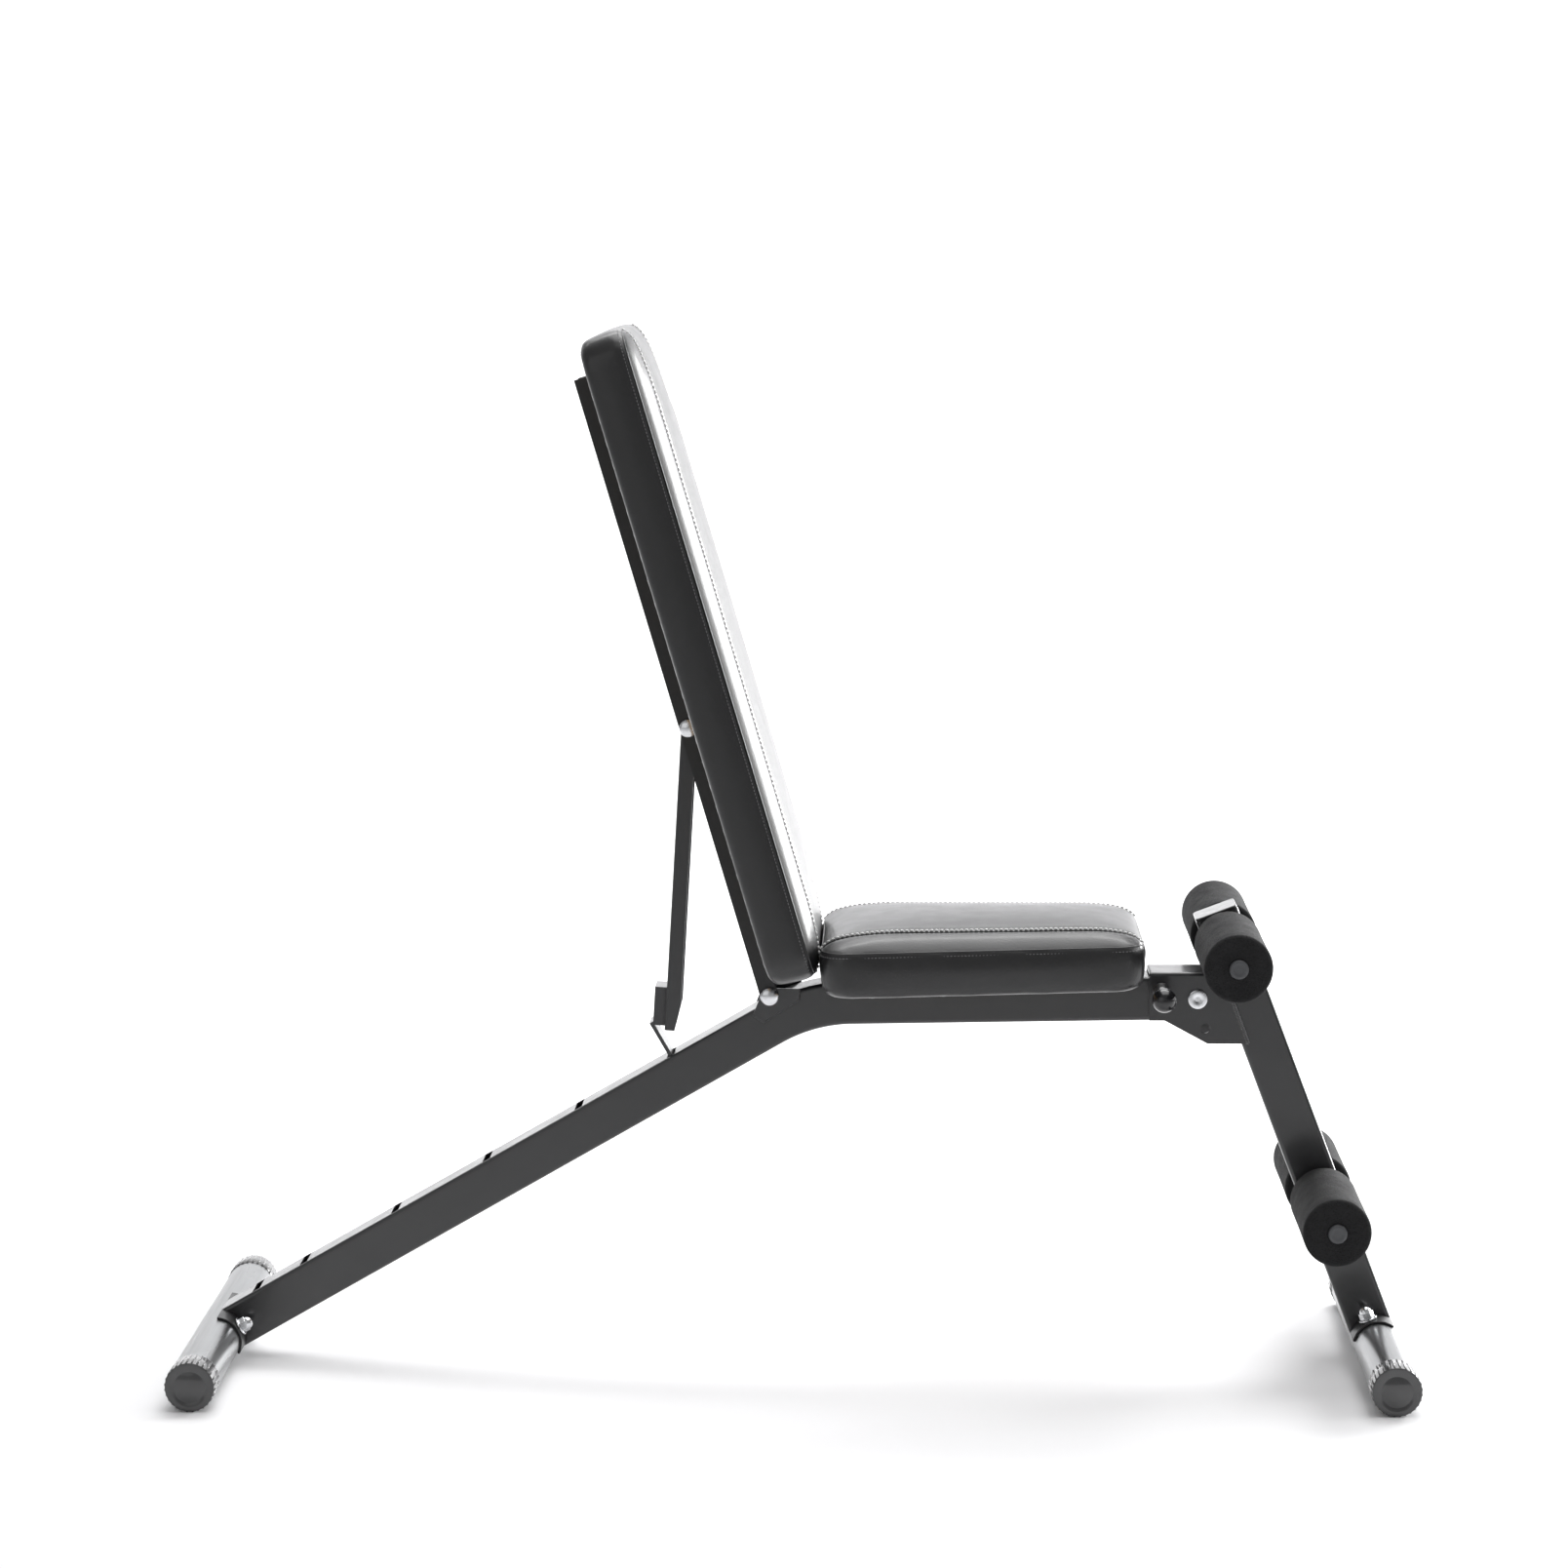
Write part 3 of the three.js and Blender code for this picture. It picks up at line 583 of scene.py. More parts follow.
class Palette:
    """Builds each finish once and hands it out."""

    def __init__(self) -> None:
        """Make all the materials."""
        makers = {
            Finish.PAINT: Paint(),
            Finish.CHROME: Metal("foot_chrome", (0.29, 0.295, 0.30), (0.26, 0.35), (1.0, 0.03, 1.0)),
            Finish.ZINC: Metal("zinc", (0.80, 0.81, 0.83), (0.16, 0.30)),
            Finish.VINYL: Vinyl(),
            Finish.WOOD: Plywood(),
            Finish.BLACK: Plastic("black_plastic", (0.020, 0.020, 0.021), (0.34, 0.46), 0.08, 0.9, 0.08),
            Finish.GREY: Plastic("grey_plastic", (0.052, 0.054, 0.058)),
            Finish.BALL: Plastic("knob_plastic", (0.008, 0.008, 0.009), (0.20, 0.28), 0.04, 0.35, 0.08),
            Finish.FOAM: Foam(),
            Finish.THREAD: Thread(),
            Finish.DARK_THREAD: Thread("dark_thread", (0.07, 0.07, 0.073), (0.17, 0.17, 0.175)),
            # Near-black strip for the seam lines: painted shade of the seam grooves.
            Finish.SEAM: Plastic("seam_groove_shade", (0.0035, 0.0035, 0.0037), (0.75, 0.9), 0.2),
            # Darker copy of the frame paint for the backrest channel and the floor-bar saddles: painted
            # shade.
            Finish.SHADED_PAINT: Paint(
                "shaded_channel_paint", (0.0035, 0.0035, 0.0038), (0.0065, 0.0065, 0.007), (0.42, 0.52), 0.15
            ),
            # Lighter, glossier copy of the frame paint for the fold-bracket welds: painted highlight on the
            # weld ripples.
            Finish.WELD_PAINT: Paint(
                "weld_paint", (0.030, 0.030, 0.031), (0.075, 0.075, 0.077), (0.16, 0.24), 1.0
            ),
        }
        self.materials = {finish: maker.build() for finish, maker in makers.items()}

    def get(self, finish: Finish) -> bpy.types.Material:
        """Material of a finish."""
        return self.materials[finish]


# ---------------------------------------------------------------------------------------
# Mesh making


def new_object(name: str, mesh: bpy.types.Mesh) -> bpy.types.Object:
    """Object at the origin for a mesh, linked to the scene.

    Args:
        name: Name of the object.
        mesh: Its mesh.

    Returns:
        The new object.
    """
    piece = bpy.data.objects.new(name, mesh)
    bpy.context.scene.collection.objects.link(piece)
    return piece


def from_bmesh(name: str, bm: bmesh.types.BMesh, matrix: Matrix) -> bpy.types.Object:
    """Turn a bmesh in local millimetres into an object whose place is in its mesh.

    Args:
        name: Name of the piece.
        bm: The mesh under construction; it is freed.
        matrix: Transform into the row frame.

    Returns:
        The new object.
    """
    bmesh.ops.remove_doubles(bm, verts=bm.verts, dist=1e-4)
    bmesh.ops.recalc_face_normals(bm, faces=bm.faces)
    bm.transform(matrix)
    mesh = bpy.data.meshes.new(name)
    bm.to_mesh(mesh)
    bm.free()
    return new_object(name, mesh)


def skinned(
    name: str,
    rows: Sequence[Sequence[tuple[float, float, float]]],
    matrix: Matrix,
) -> bpy.types.Object:
    """Closed solid over a stack of outlines with the same number of corners.

    Args:
        name: Name of the piece.
        rows: The outlines as lists of points, from one end to the other.
        matrix: Transform into the row frame.

    Returns:
        The new object.
    """
    bm = bmesh.new()
    stack = [[bm.verts.new(point) for point in row] for row in rows]
    bm.faces.new(stack[0])
    bm.faces.new(stack[-1])
    for low, high in zip(stack, stack[1:]):
        for i in range(len(low)):
            j = (i + 1) % len(low)
            bm.faces.new((low[i], low[j], high[j], high[i]))
    return from_bmesh(name, bm, matrix)


def prism(name: str, outline: Outline, y0: float, y1: float, axes: Axes) -> bpy.types.Object:
    """Flat plate with its outline in local x-z, from y0 to y1."""
    rows = [[(x, y, z) for x, z in outline] for y in (y0, y1)]
    return skinned(name, rows, axes.matrix())


def block(name: str, low: Sequence[float], high: Sequence[float], axes: Axes) -> bpy.types.Object:
    """Box between two local corners."""
    outline = [(low[0], low[2]), (high[0], low[2]), (high[0], high[2]), (low[0], high[2])]
    return prism(name, outline, low[1], high[1], axes)


def extrude_up(name: str, loops: Sequence[Outline], levels: Sequence[float], axes: Axes) -> bpy.types.Object:
    """Wall or solid standing on local z, from outlines in local x-y.

    Args:
        name: Name of the piece.
        loops: One outline for a solid, or outer and inner outlines for a hollow section.
        levels: Heights of the sections, lowest first.
        axes: Working frame.

    Returns:
        The new object.
    """
    bm = bmesh.new()
    stacks = [[[bm.verts.new((x, y, z)) for x, y in loop] for z in levels] for loop in loops]
    for stack in stacks:
        for lower, upper in zip(stack, stack[1:]):
            for i in range(len(lower)):
                j = (i + 1) % len(lower)
                bm.faces.new((lower[i], lower[j], upper[j], upper[i]))
    for level in (0, -1):
        if len(stacks) == 1:
            bm.faces.new(stacks[0][level])
        else:
            outer, inner = stacks[0][level], stacks[1][level]
            for i in range(len(outer)):
                j = (i + 1) % len(outer)
                bm.faces.new((outer[i], outer[j], inner[j], inner[i]))
    return from_bmesh(name, bm, axes.matrix())


def turned(
    name: str,
    profile: Sequence[tuple[float, float]],
    matrix: Matrix,
    segments: int = 48,
    closed: bool = False,
) -> bpy.types.Object:
    """Turned piece about local Z.

    Args:
        name: Name of the piece.
        profile: (radius, z) pairs; they start and end on the axis unless closed.
        matrix: Transform from local millimetres.
        segments: Steps round the axis.
        closed: Whether the profile closes on itself as a ring.

    Returns:
        The new object.
    """
    bm = bmesh.new()
    rings = []
    for radius, z in profile:
        if radius < 1e-6:
            rings.append([bm.verts.new((0.0, 0.0, z))])
        else:
            turn = [2 * math.pi * k / segments for k in range(segments)]
            rings.append([bm.verts.new((radius * math.cos(a), radius * math.sin(a), z)) for a in turn])
    pairs = list(zip(rings, rings[1:])) + ([(rings[-1], rings[0])] if closed else [])
    for lower, upper in pairs:
        for k in range(segments):
            n = (k + 1) % segments
            corners = [
                lower[k % len(lower)], lower[n % len(lower)], upper[n % len(upper)], upper[k % len(upper)]
            ]
            unique = list(dict.fromkeys(corners))
            if len(unique) > 2:
                bm.faces.new(unique)
    return from_bmesh(name, bm, matrix)


def drill(
    name: str,
    radius: float,
    ends: tuple[float, float],
    matrix: Matrix,
    segments: int = 32,
) -> bpy.types.Object:
    """Round cutter about local Z.

    Args:
        name: Name of the cutter.
        radius: Its radius.
        ends: Heights of its two ends.
        matrix: Transform from local millimetres.
        segments: Steps round the axis.

    Returns:
        The new object.
    """
    start, end = ends
    profile = [(0.0, start), (radius, start), (radius, end), (0.0, end)]
    return turned(name, profile, matrix, segments)


def along_y(axes: Axes, x: float, y: float, z: float, side: Side = Side.FAR) -> Matrix:
    """Transform that lays local Z along +Y, or along -Y for the near side."""
    turn = Matrix.Rotation(-side.value * math.pi / 2, 4, "X")
    return axes.matrix() @ Matrix.Translation((x, y, z)) @ turn


def rounded(half_x: float, half_y: float, radius: float, steps: int = 6) -> Outline:
    """Rounded rectangle centred on the origin.

    Args:
        half_x: Half the size along x.
        half_y: Half the size along y.
        radius: Corner radius.
        steps: Steps round each corner.

    Returns:
        The outline, anticlockwise.
    """
    points: Outline = []
    for cx, cy, start in ((1, -1, -90), (1, 1, 0), (-1, 1, 90), (-1, -1, 180)):
        for k in range(steps + 1):
            a = math.radians(start + 90 * k / steps)
            points.append(
                (cx * (half_x - radius) + radius * math.cos(a), cy * (half_y - radius) + radius * math.sin(a))
            )
    return points


def arc(cx: float, cy: float, radius: float, start: float, end: float, steps: int = 12) -> Outline:
    """Points on an arc, angles in degrees."""
    turns = [math.radians(start + (end - start) * k / steps) for k in range(steps + 1)]
    return [(cx + radius * math.cos(a), cy + radius * math.sin(a)) for a in turns]


def settle(piece: bpy.types.Object) -> bpy.types.Object:
    """Bake the live modifiers of a piece into its own mesh.

    Args:
        piece: The piece; its modifiers are used up.

    Returns:
        The same piece.
    """
    evaluated = piece.evaluated_get(bpy.context.evaluated_depsgraph_get())
    mesh = bpy.data.meshes.new_from_object(evaluated)
    piece.modifiers.clear()
    piece.data = mesh
    return piece


def carve(
    piece: bpy.types.Object,
    tools: Iterable[bpy.types.Object],
    operation: str = "DIFFERENCE",
) -> bpy.types.Object:
    """Cut, join or intersect a piece with tools, which are used up.

    Args:
        piece: The piece to work on.
        tools: The objects to cut with.
        operation: Kind of boolean step.

    Returns:
        The same piece.
    """
    used = list(tools)
    for tool in used:
        step = piece.modifiers.new(tool.name, "BOOLEAN")
        step.operation = operation
        step.solver = "EXACT"
        step.object = tool
        settle(piece)
    for tool in used:
        bpy.data.objects.remove(tool)
    return piece


def ease_edges(
    piece: bpy.types.Object,
    width: float,
    segments: int = 2,
    angle: float = 32.0,
) -> bpy.types.Object:
    """Round the sharp edges of a piece and shade it smooth up to an angle.

    Args:
        piece: The piece to finish.
        width: Width of the rounding in millimetres; zero leaves the edges.
        segments: Steps across the rounding.
        angle: Edges sharper than this are rounded, in degrees.

    Returns:
        The same piece.
    """
    if width > 0:
        step = piece.modifiers.new("eased_edges", "BEVEL")
        step.width = width * MM
        step.segments = segments
        step.limit_method = "ANGLE"
        step.angle_limit = math.radians(angle)
        step.use_clamp_overlap = True
        settle(piece)
    piece.data.polygons.foreach_set("use_smooth", [True] * len(piece.data.polygons))
    piece.data.set_sharp_from_angle(angle=math.radians(40))
    if width > 0:
        step = piece.modifiers.new("flat_faces", "WEIGHTED_NORMAL")
        step.keep_sharp = True
        settle(piece)
    return piece


def join_into(name: str, pieces: Sequence[bpy.types.Object]) -> bpy.types.Object:
    """Merge several pieces into one object, keeping each one's mesh data.

    Args:
        name: Name of the joined piece.
        pieces: The pieces; they are used up.

    Returns:
        The new object.
    """
    bm = bmesh.new()
    for piece in pieces:
        bm.from_mesh(piece.data)
    mesh = bpy.data.meshes.new(name)
    bm.to_mesh(mesh)
    bm.free()
    for piece in pieces:
        bpy.data.objects.remove(piece)
    return new_object(name, mesh)


def dress(
    piece: bpy.types.Object,
    palette: Palette,
    finish: Finish,
    body: Body | str,
    nodes: Sequence[str] = (),
) -> bpy.types.Object:
    """Give a piece its finish, its body and the CAD nodes it stands for.

    Args:
        piece: The piece.
        palette: Finishes.
        finish: Which finish it gets.
        body: The body it rides on.
        nodes: CAD nodes it replaces.

    Returns:
        The same piece.
    """
    piece.data.materials.clear()
    piece.data.materials.append(palette.get(finish))
    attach(piece, body.value if isinstance(body, Body) else body)
    if nodes:
        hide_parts(*nodes)
    LOG.info("%s: %s, %d faces", piece.name, finish.name.lower(), len(piece.data.polygons))
    return piece


# ---------------------------------------------------------------------------------------
# Geometry Nodes: beads along a path, ribs round a circle


class NodeTree:
    """Builder for one Geometry Nodes tree with named inputs."""

    def __init__(self, name: str, inputs: dict[str, tuple[str, float | int]]) -> None:
        """Open a tree.

        Args:
            name: Name of the tree.
            inputs: Input name to (socket type, default).
        """
        self.tree = bpy.data.node_groups.new(name, "GeometryNodeTree")
        face = self.tree.interface
        face.new_socket("Geometry", in_out="INPUT", socket_type="NodeSocketGeometry")
        for label, (kind, default) in inputs.items():
            socket = face.new_socket(label, in_out="INPUT", socket_type=kind)
            socket.default_value = default
        face.new_socket("Material", in_out="INPUT", socket_type="NodeSocketMaterial")
        face.new_socket("Geometry", in_out="OUTPUT", socket_type="NodeSocketGeometry")
        self.source = self.tree.nodes.new("NodeGroupInput")
        self.sink = self.tree.nodes.new("NodeGroupOutput")

    def add(
        self,
        kind: str,
        links: dict[str | int, bpy.types.NodeSocket] | None = None,
        **settings: object,
    ) -> bpy.types.Node:
        """Add a node, set its properties and link its inputs.

        Args:
            kind: Node type name.
            links: Input name or index to the socket that feeds it.
            **settings: Attributes of the node.

        Returns:
            The new node.
        """
        node = self.tree.nodes.new(kind)
        for key, value in settings.items():
            setattr(node, key, value)
        for key, socket in (links or {}).items():
            self.tree.links.new(socket, node.inputs[key])
        return node

    def close(self, instances: bpy.types.NodeSocket) -> bpy.types.NodeTree:
        """Realize, shade smooth, set the material and finish the tree.

        Args:
            instances: Socket with the tree's geometry.

        Returns:
            The finished tree.
        """
        real = self.add("GeometryNodeRealizeInstances", {"Geometry": instances})
        smooth = self.add("GeometryNodeSetShadeSmooth", {"Geometry": real.outputs[0]})
        painted = self.add(
            "GeometryNodeSetMaterial",
            {"Geometry": smooth.outputs[0], "Material": self.source.outputs["Material"]},
        )
        self.tree.links.new(painted.outputs[0], self.sink.inputs["Geometry"])
        return self.tree


def run_tree(
    name: str,
    carrier: bpy.types.Object,
    tree: bpy.types.NodeTree,
    values: dict[str, float | int | bpy.types.Material],
) -> bpy.types.Object:
    """Run a Geometry Nodes tree on a carrier and keep the result as a plain mesh.

    Args:
        name: Name of the resulting piece.
        carrier: Object that holds the path or plate; it is used up.
        tree: The tree to run.
        values: Input name to value.

    Returns:
        A new object with the made mesh.
    """
    step = carrier.modifiers.new("made_by_nodes", "NODES")
    step.node_group = tree
    for item in tree.interface.items_tree:
        if item.in_out == "INPUT" and item.name in values:
            step[item.identifier] = values[item.name]
    evaluated = carrier.evaluated_get(bpy.context.evaluated_depsgraph_get())
    mesh = bpy.data.meshes.new_from_object(evaluated)
    mesh.name = name
    carrier.modifiers.clear()
    bpy.data.objects.remove(carrier)
    return new_object(name, mesh)


def bead_tree() -> bpy.types.NodeTree:
    """Tree that lays small rounded beads end to end along a path.

    Returns:
        The tree.
    """
    size = "NodeSocketFloat"
    t = NodeTree(
        "beads_on_path",
        {"Spacing": (size, 0.005), "Length": (size, 0.004), "Width": (size, 0.001), "Height": (size, 0.001)},
    )
    path = t.add(
        "GeometryNodeResampleCurve",
        {"Curve": t.source.outputs["Geometry"], "Length": t.source.outputs["Spacing"]},
        mode="LENGTH",
    )
    bead = t.add("GeometryNodeMeshUVSphere")
    bead.inputs["Segments"].default_value = 8
    bead.inputs["Rings"].default_value = 6
    bead.inputs["Radius"].default_value = 0.5
    scale = t.add(
        "ShaderNodeCombineXYZ",
        {"X": t.source.outputs["Length"], "Y": t.source.outputs["Width"], "Z": t.source.outputs["Height"]},
    )
    shaped = t.add("GeometryNodeTransform", {"Geometry": bead.outputs[0], "Scale": scale.outputs[0]})
    tangent = t.add("GeometryNodeInputTangent")
    turn = t.add("FunctionNodeAlignRotationToVector", {"Vector": tangent.outputs[0]}, axis="X")
    placed = t.add(
        "GeometryNodeInstanceOnPoints",
        {"Points": path.outputs[0], "Instance": shaped.outputs[0], "Rotation": turn.outputs[0]},
    )
    return t.close(placed.outputs[0])


def cord_tree() -> bpy.types.NodeTree:
    """Tree that sweeps a round cord along a path.

    Returns:
        The tree.
    """
    t = NodeTree(
        "cord_on_path", {"Radius": ("NodeSocketFloat", 0.001), "Spacing": ("NodeSocketFloat", 0.003)}
    )
    path = t.add(
        "GeometryNodeResampleCurve",
        {"Curve": t.source.outputs["Geometry"], "Length": t.source.outputs["Spacing"]},
        mode="LENGTH",
    )
    ring = t.add("GeometryNodeCurvePrimitiveCircle", {"Radius": t.source.outputs["Radius"]})
    ring.inputs["Resolution"].default_value = 8
    cord = t.add("GeometryNodeCurveToMesh", {"Curve": path.outputs[0], "Profile Curve": ring.outputs[0]})
    cord.inputs["Fill Caps"].default_value = True
    return t.close(cord.outputs[0])


def rib_tree() -> bpy.types.NodeTree:
    """Tree that stands round ribs on every point of its input.

    Returns:
        The tree.
    """
    size = "NodeSocketFloat"
    t = NodeTree("ribs_on_points", {"Length": (size, 0.03), "Radius": (size, 0.001)})
    rod = t.add(
        "GeometryNodeMeshCylinder",
        {"Radius": t.source.outputs["Radius"], "Depth": t.source.outputs["Length"]},
    )
    rod.inputs["Vertices"].default_value = 8
    laid = t.add("GeometryNodeTransform", {"Geometry": rod.outputs["Mesh"]})
    laid.inputs["Rotation"].default_value = (math.pi / 2, 0.0, 0.0)
    placed = t.add(
        "GeometryNodeInstanceOnPoints",
        {"Points": t.source.outputs["Geometry"], "Instance": laid.outputs[0]},
    )
    return t.close(placed.outputs[0])


def path_object(name: str, points: Sequence[Vector], cyclic: bool = False) -> bpy.types.Object:
    """Curve object of one straight-segment spline through row-frame points.

    Args:
        name: Name of the curve.
        points: Row-frame points of the path.
        cyclic: Whether the path closes.

    Returns:
        The curve's object.
    """
    curve = bpy.data.curves.new(name, "CURVE")
    curve.dimensions = "3D"
    spline = curve.splines.new("POLY")
    spline.points.add(len(points) - 1)
    for slot, point in zip(spline.points, points):
        slot.co = (*point, 1.0)
    spline.use_cyclic_u = cyclic
    piece = bpy.data.objects.new(name, curve)
    bpy.context.scene.collection.objects.link(piece)
    return piece


@dataclass
class Beads:
    """A row of beads: stitches, weld ripples or staples."""

    spacing: float
    length: float
    width: float
    height: float

    def lay(
        self,
        name: str,
        tree: bpy.types.NodeTree,
        points: Sequence[Vector],
        material: bpy.types.Material,
        cyclic: bool = False,
    ) -> bpy.types.Object:
        """Make the row along points.

        Args:
            name: Name of the piece.
            tree: The bead tree.
            points: Row-frame points of the path.
            material: Finish of the beads.
            cyclic: Whether the path closes.

        Returns:
            The made piece.
        """
        values = {
            "Spacing": self.spacing * MM,
            "Length": self.length * MM,
            "Width": self.width * MM,
            "Height": self.height * MM,
            "Material": material,
        }
        return run_tree(name, path_object(name + "_path", points, cyclic), tree, values)


WELD = Beads(spacing=1.7, length=3.2, width=5.4, height=5.4)
SMALL_WELD = Beads(spacing=1.3, length=2.6, width=3.0, height=3.0)
STITCH = Beads(spacing=5.0, length=3.7, width=2.1, height=2.4)
FINE_STITCH = Beads(spacing=3.6, length=2.4, width=1.0, height=0.9)
STAPLE = Beads(spacing=24.0, length=11.0, width=1.2, height=0.5)


@dataclass(frozen=True)
class Trees:
    """Geometry Nodes trees shared by the sub-assemblies."""

    beads: bpy.types.NodeTree
    cord: bpy.types.NodeTree
    ribs: bpy.types.NodeTree


# ---------------------------------------------------------------------------------------
# Fasteners


@dataclass
class Fasteners:
    """Zinc bolts, cap nuts and screws; profiles are (radius, height) in millimetres."""

    palette: Palette

    def dome_bolt(
        self,
        name: str,
        node: str,
        matrix: Matrix,
        body: Body,
        shank: float,
        head: float,
        tall: float,
        length: float,
    ) -> None:
        """Domed bolt with a rim, head below zero and shank above.

        Args:
            name: Name of the piece.
            node: CAD node it replaces.
            matrix: Transform from local millimetres.
            body: Body it rides on.
            shank: Radius of the shank.
            head: Radius of the head.
            tall: Height over the face it bears on.
            length: Length of the shank.
        """
        profile = [(0.0, -tall)]
        profile += [
            (head * math.sin(math.radians(a)), -0.22 * tall - 0.78 * tall * math.cos(math.radians(a)))
            for a in range(9, 90, 9)
        ]
        profile += [
            (head, -0.2 * tall),
            (head, -0.35),
            (head - 0.35, 0.0),
            (shank, 0.0),
            (shank, length - 0.6),
            (shank - 0.6, length),
            (0.0, length),
        ]
        piece = turned(name, profile, matrix, 48)
        dress(ease_edges(piece, 0.0), self.palette, Finish.ZINC, body, [node])

    def flat_bolt(
        self,
        name: str,
        node: str,
        matrix: Matrix,
        body: Body,
        shank: float,
        head: float,
        thick: float,
        length: float,
    ) -> None:
        """Flat-headed bolt with a shallow round socket.

        Args:
            name: Name of the piece.
            node: CAD node it replaces.
            matrix: Transform from local millimetres.
            body: Body it rides on.
            shank: Radius of the shank.
            head: Radius of the head.
            thick: Thickness of the head.
            length: Length of the shank.
        """
        profile = [
            (0.0, -thick + 1.6), (2.9, -thick + 1.6), (2.9, -thick + 0.2), (3.2, -thick), (head - 1.0, -thick)
        ]
        profile += [
            (head - 0.3, -thick + 0.3),
            (head, -thick + 1.0),
            (head, -0.3),
            (head - 0.3, 0.0),
            (shank, 0.0),
            (shank, length),
            (0.0, length),
        ]
        piece = turned(name, profile, matrix, 48)
        dress(ease_edges(piece, 0.0), self.palette, Finish.ZINC, body, [node])

    def cap_nut(self, name: str, node: str, matrix: Matrix, body: Body, across: float, tall: float) -> None:
        """Domed hexagon nut on a round washer.

        Args:
            name: Name of the piece.
            node: CAD node it replaces.
            matrix: Transform from local millimetres.
            body: Body it rides on.
            across: Radius of the washer.
            tall: Height over the face it bears on.
        """
        washer = turned(
            name + "_washer",
            [(0.0, 0.0), (across - 0.3, 0.0), (across, 0.3), (across, 1.5), (across - 0.3, 1.8), (0.0, 1.8)],
            matrix,
        )
        radius = across * 0.82
        turns = [k * math.pi / 3 for k in range(6)]
        rows = [[(radius * math.cos(a), radius * math.sin(a), z) for a in turns] for z in (1.8, tall * 0.56)]
        body_piece = ease_edges(skinned(name + "_hex", rows, matrix), 0.5, 2)
        crown = across * 0.68
        base = tall * 0.5
        dome = [(0.0, base), (crown, base)]
        dome += [
            (crown * math.cos(math.radians(a)), base + (tall - base) * math.sin(math.radians(a)))
            for a in range(0, 90, 9)
        ]
        dome.append((0.0, tall))
        cap = turned(name + "_dome", dome, matrix)
        piece = join_into(name, [ease_edges(washer, 0.0), body_piece, ease_edges(cap, 0.0)])
        piece.data.set_sharp_from_angle(angle=math.radians(40))
        dress(piece, self.palette, Finish.ZINC, body, [node])

    def pan_screw(self, name: str, node: str, matrix: Matrix, body: Body) -> None:
        """Pan-head screw with a cross recess.

        Args:
            name: Name of the piece.
            node: CAD node it replaces.
            matrix: Transform from local millimetres.
            body: Body it rides on.
        """
        profile = [
            (0.0, -2.3),
            (2.2, -2.3),
            (3.6, -2.0),
            (4.6, -1.2),
            (4.9, -0.3),
            (4.9, 0.0),
            (2.3, 0.0),
            (2.3, 10.0),
            (0.0, 11.0),
        ]
        piece = turned(name, profile, matrix, 32)
        arms = []
        for turn in (0.0, 90.0):
            outline = rounded(2.5, 0.55, 0.3, 2)
            spin = matrix @ Matrix.Rotation(math.radians(turn), 4, "Z")
            rows = [[(x, y, z) for x, y in outline] for z in (-4.0, -1.2)]
            arms.append(skinned(f"{name}_arm_{int(turn)}", rows, spin))
        dress(ease_edges(carve(piece, arms), 0.0), self.palette, Finish.ZINC, body, [node])


# ---------------------------------------------------------------------------------------
# Main frame


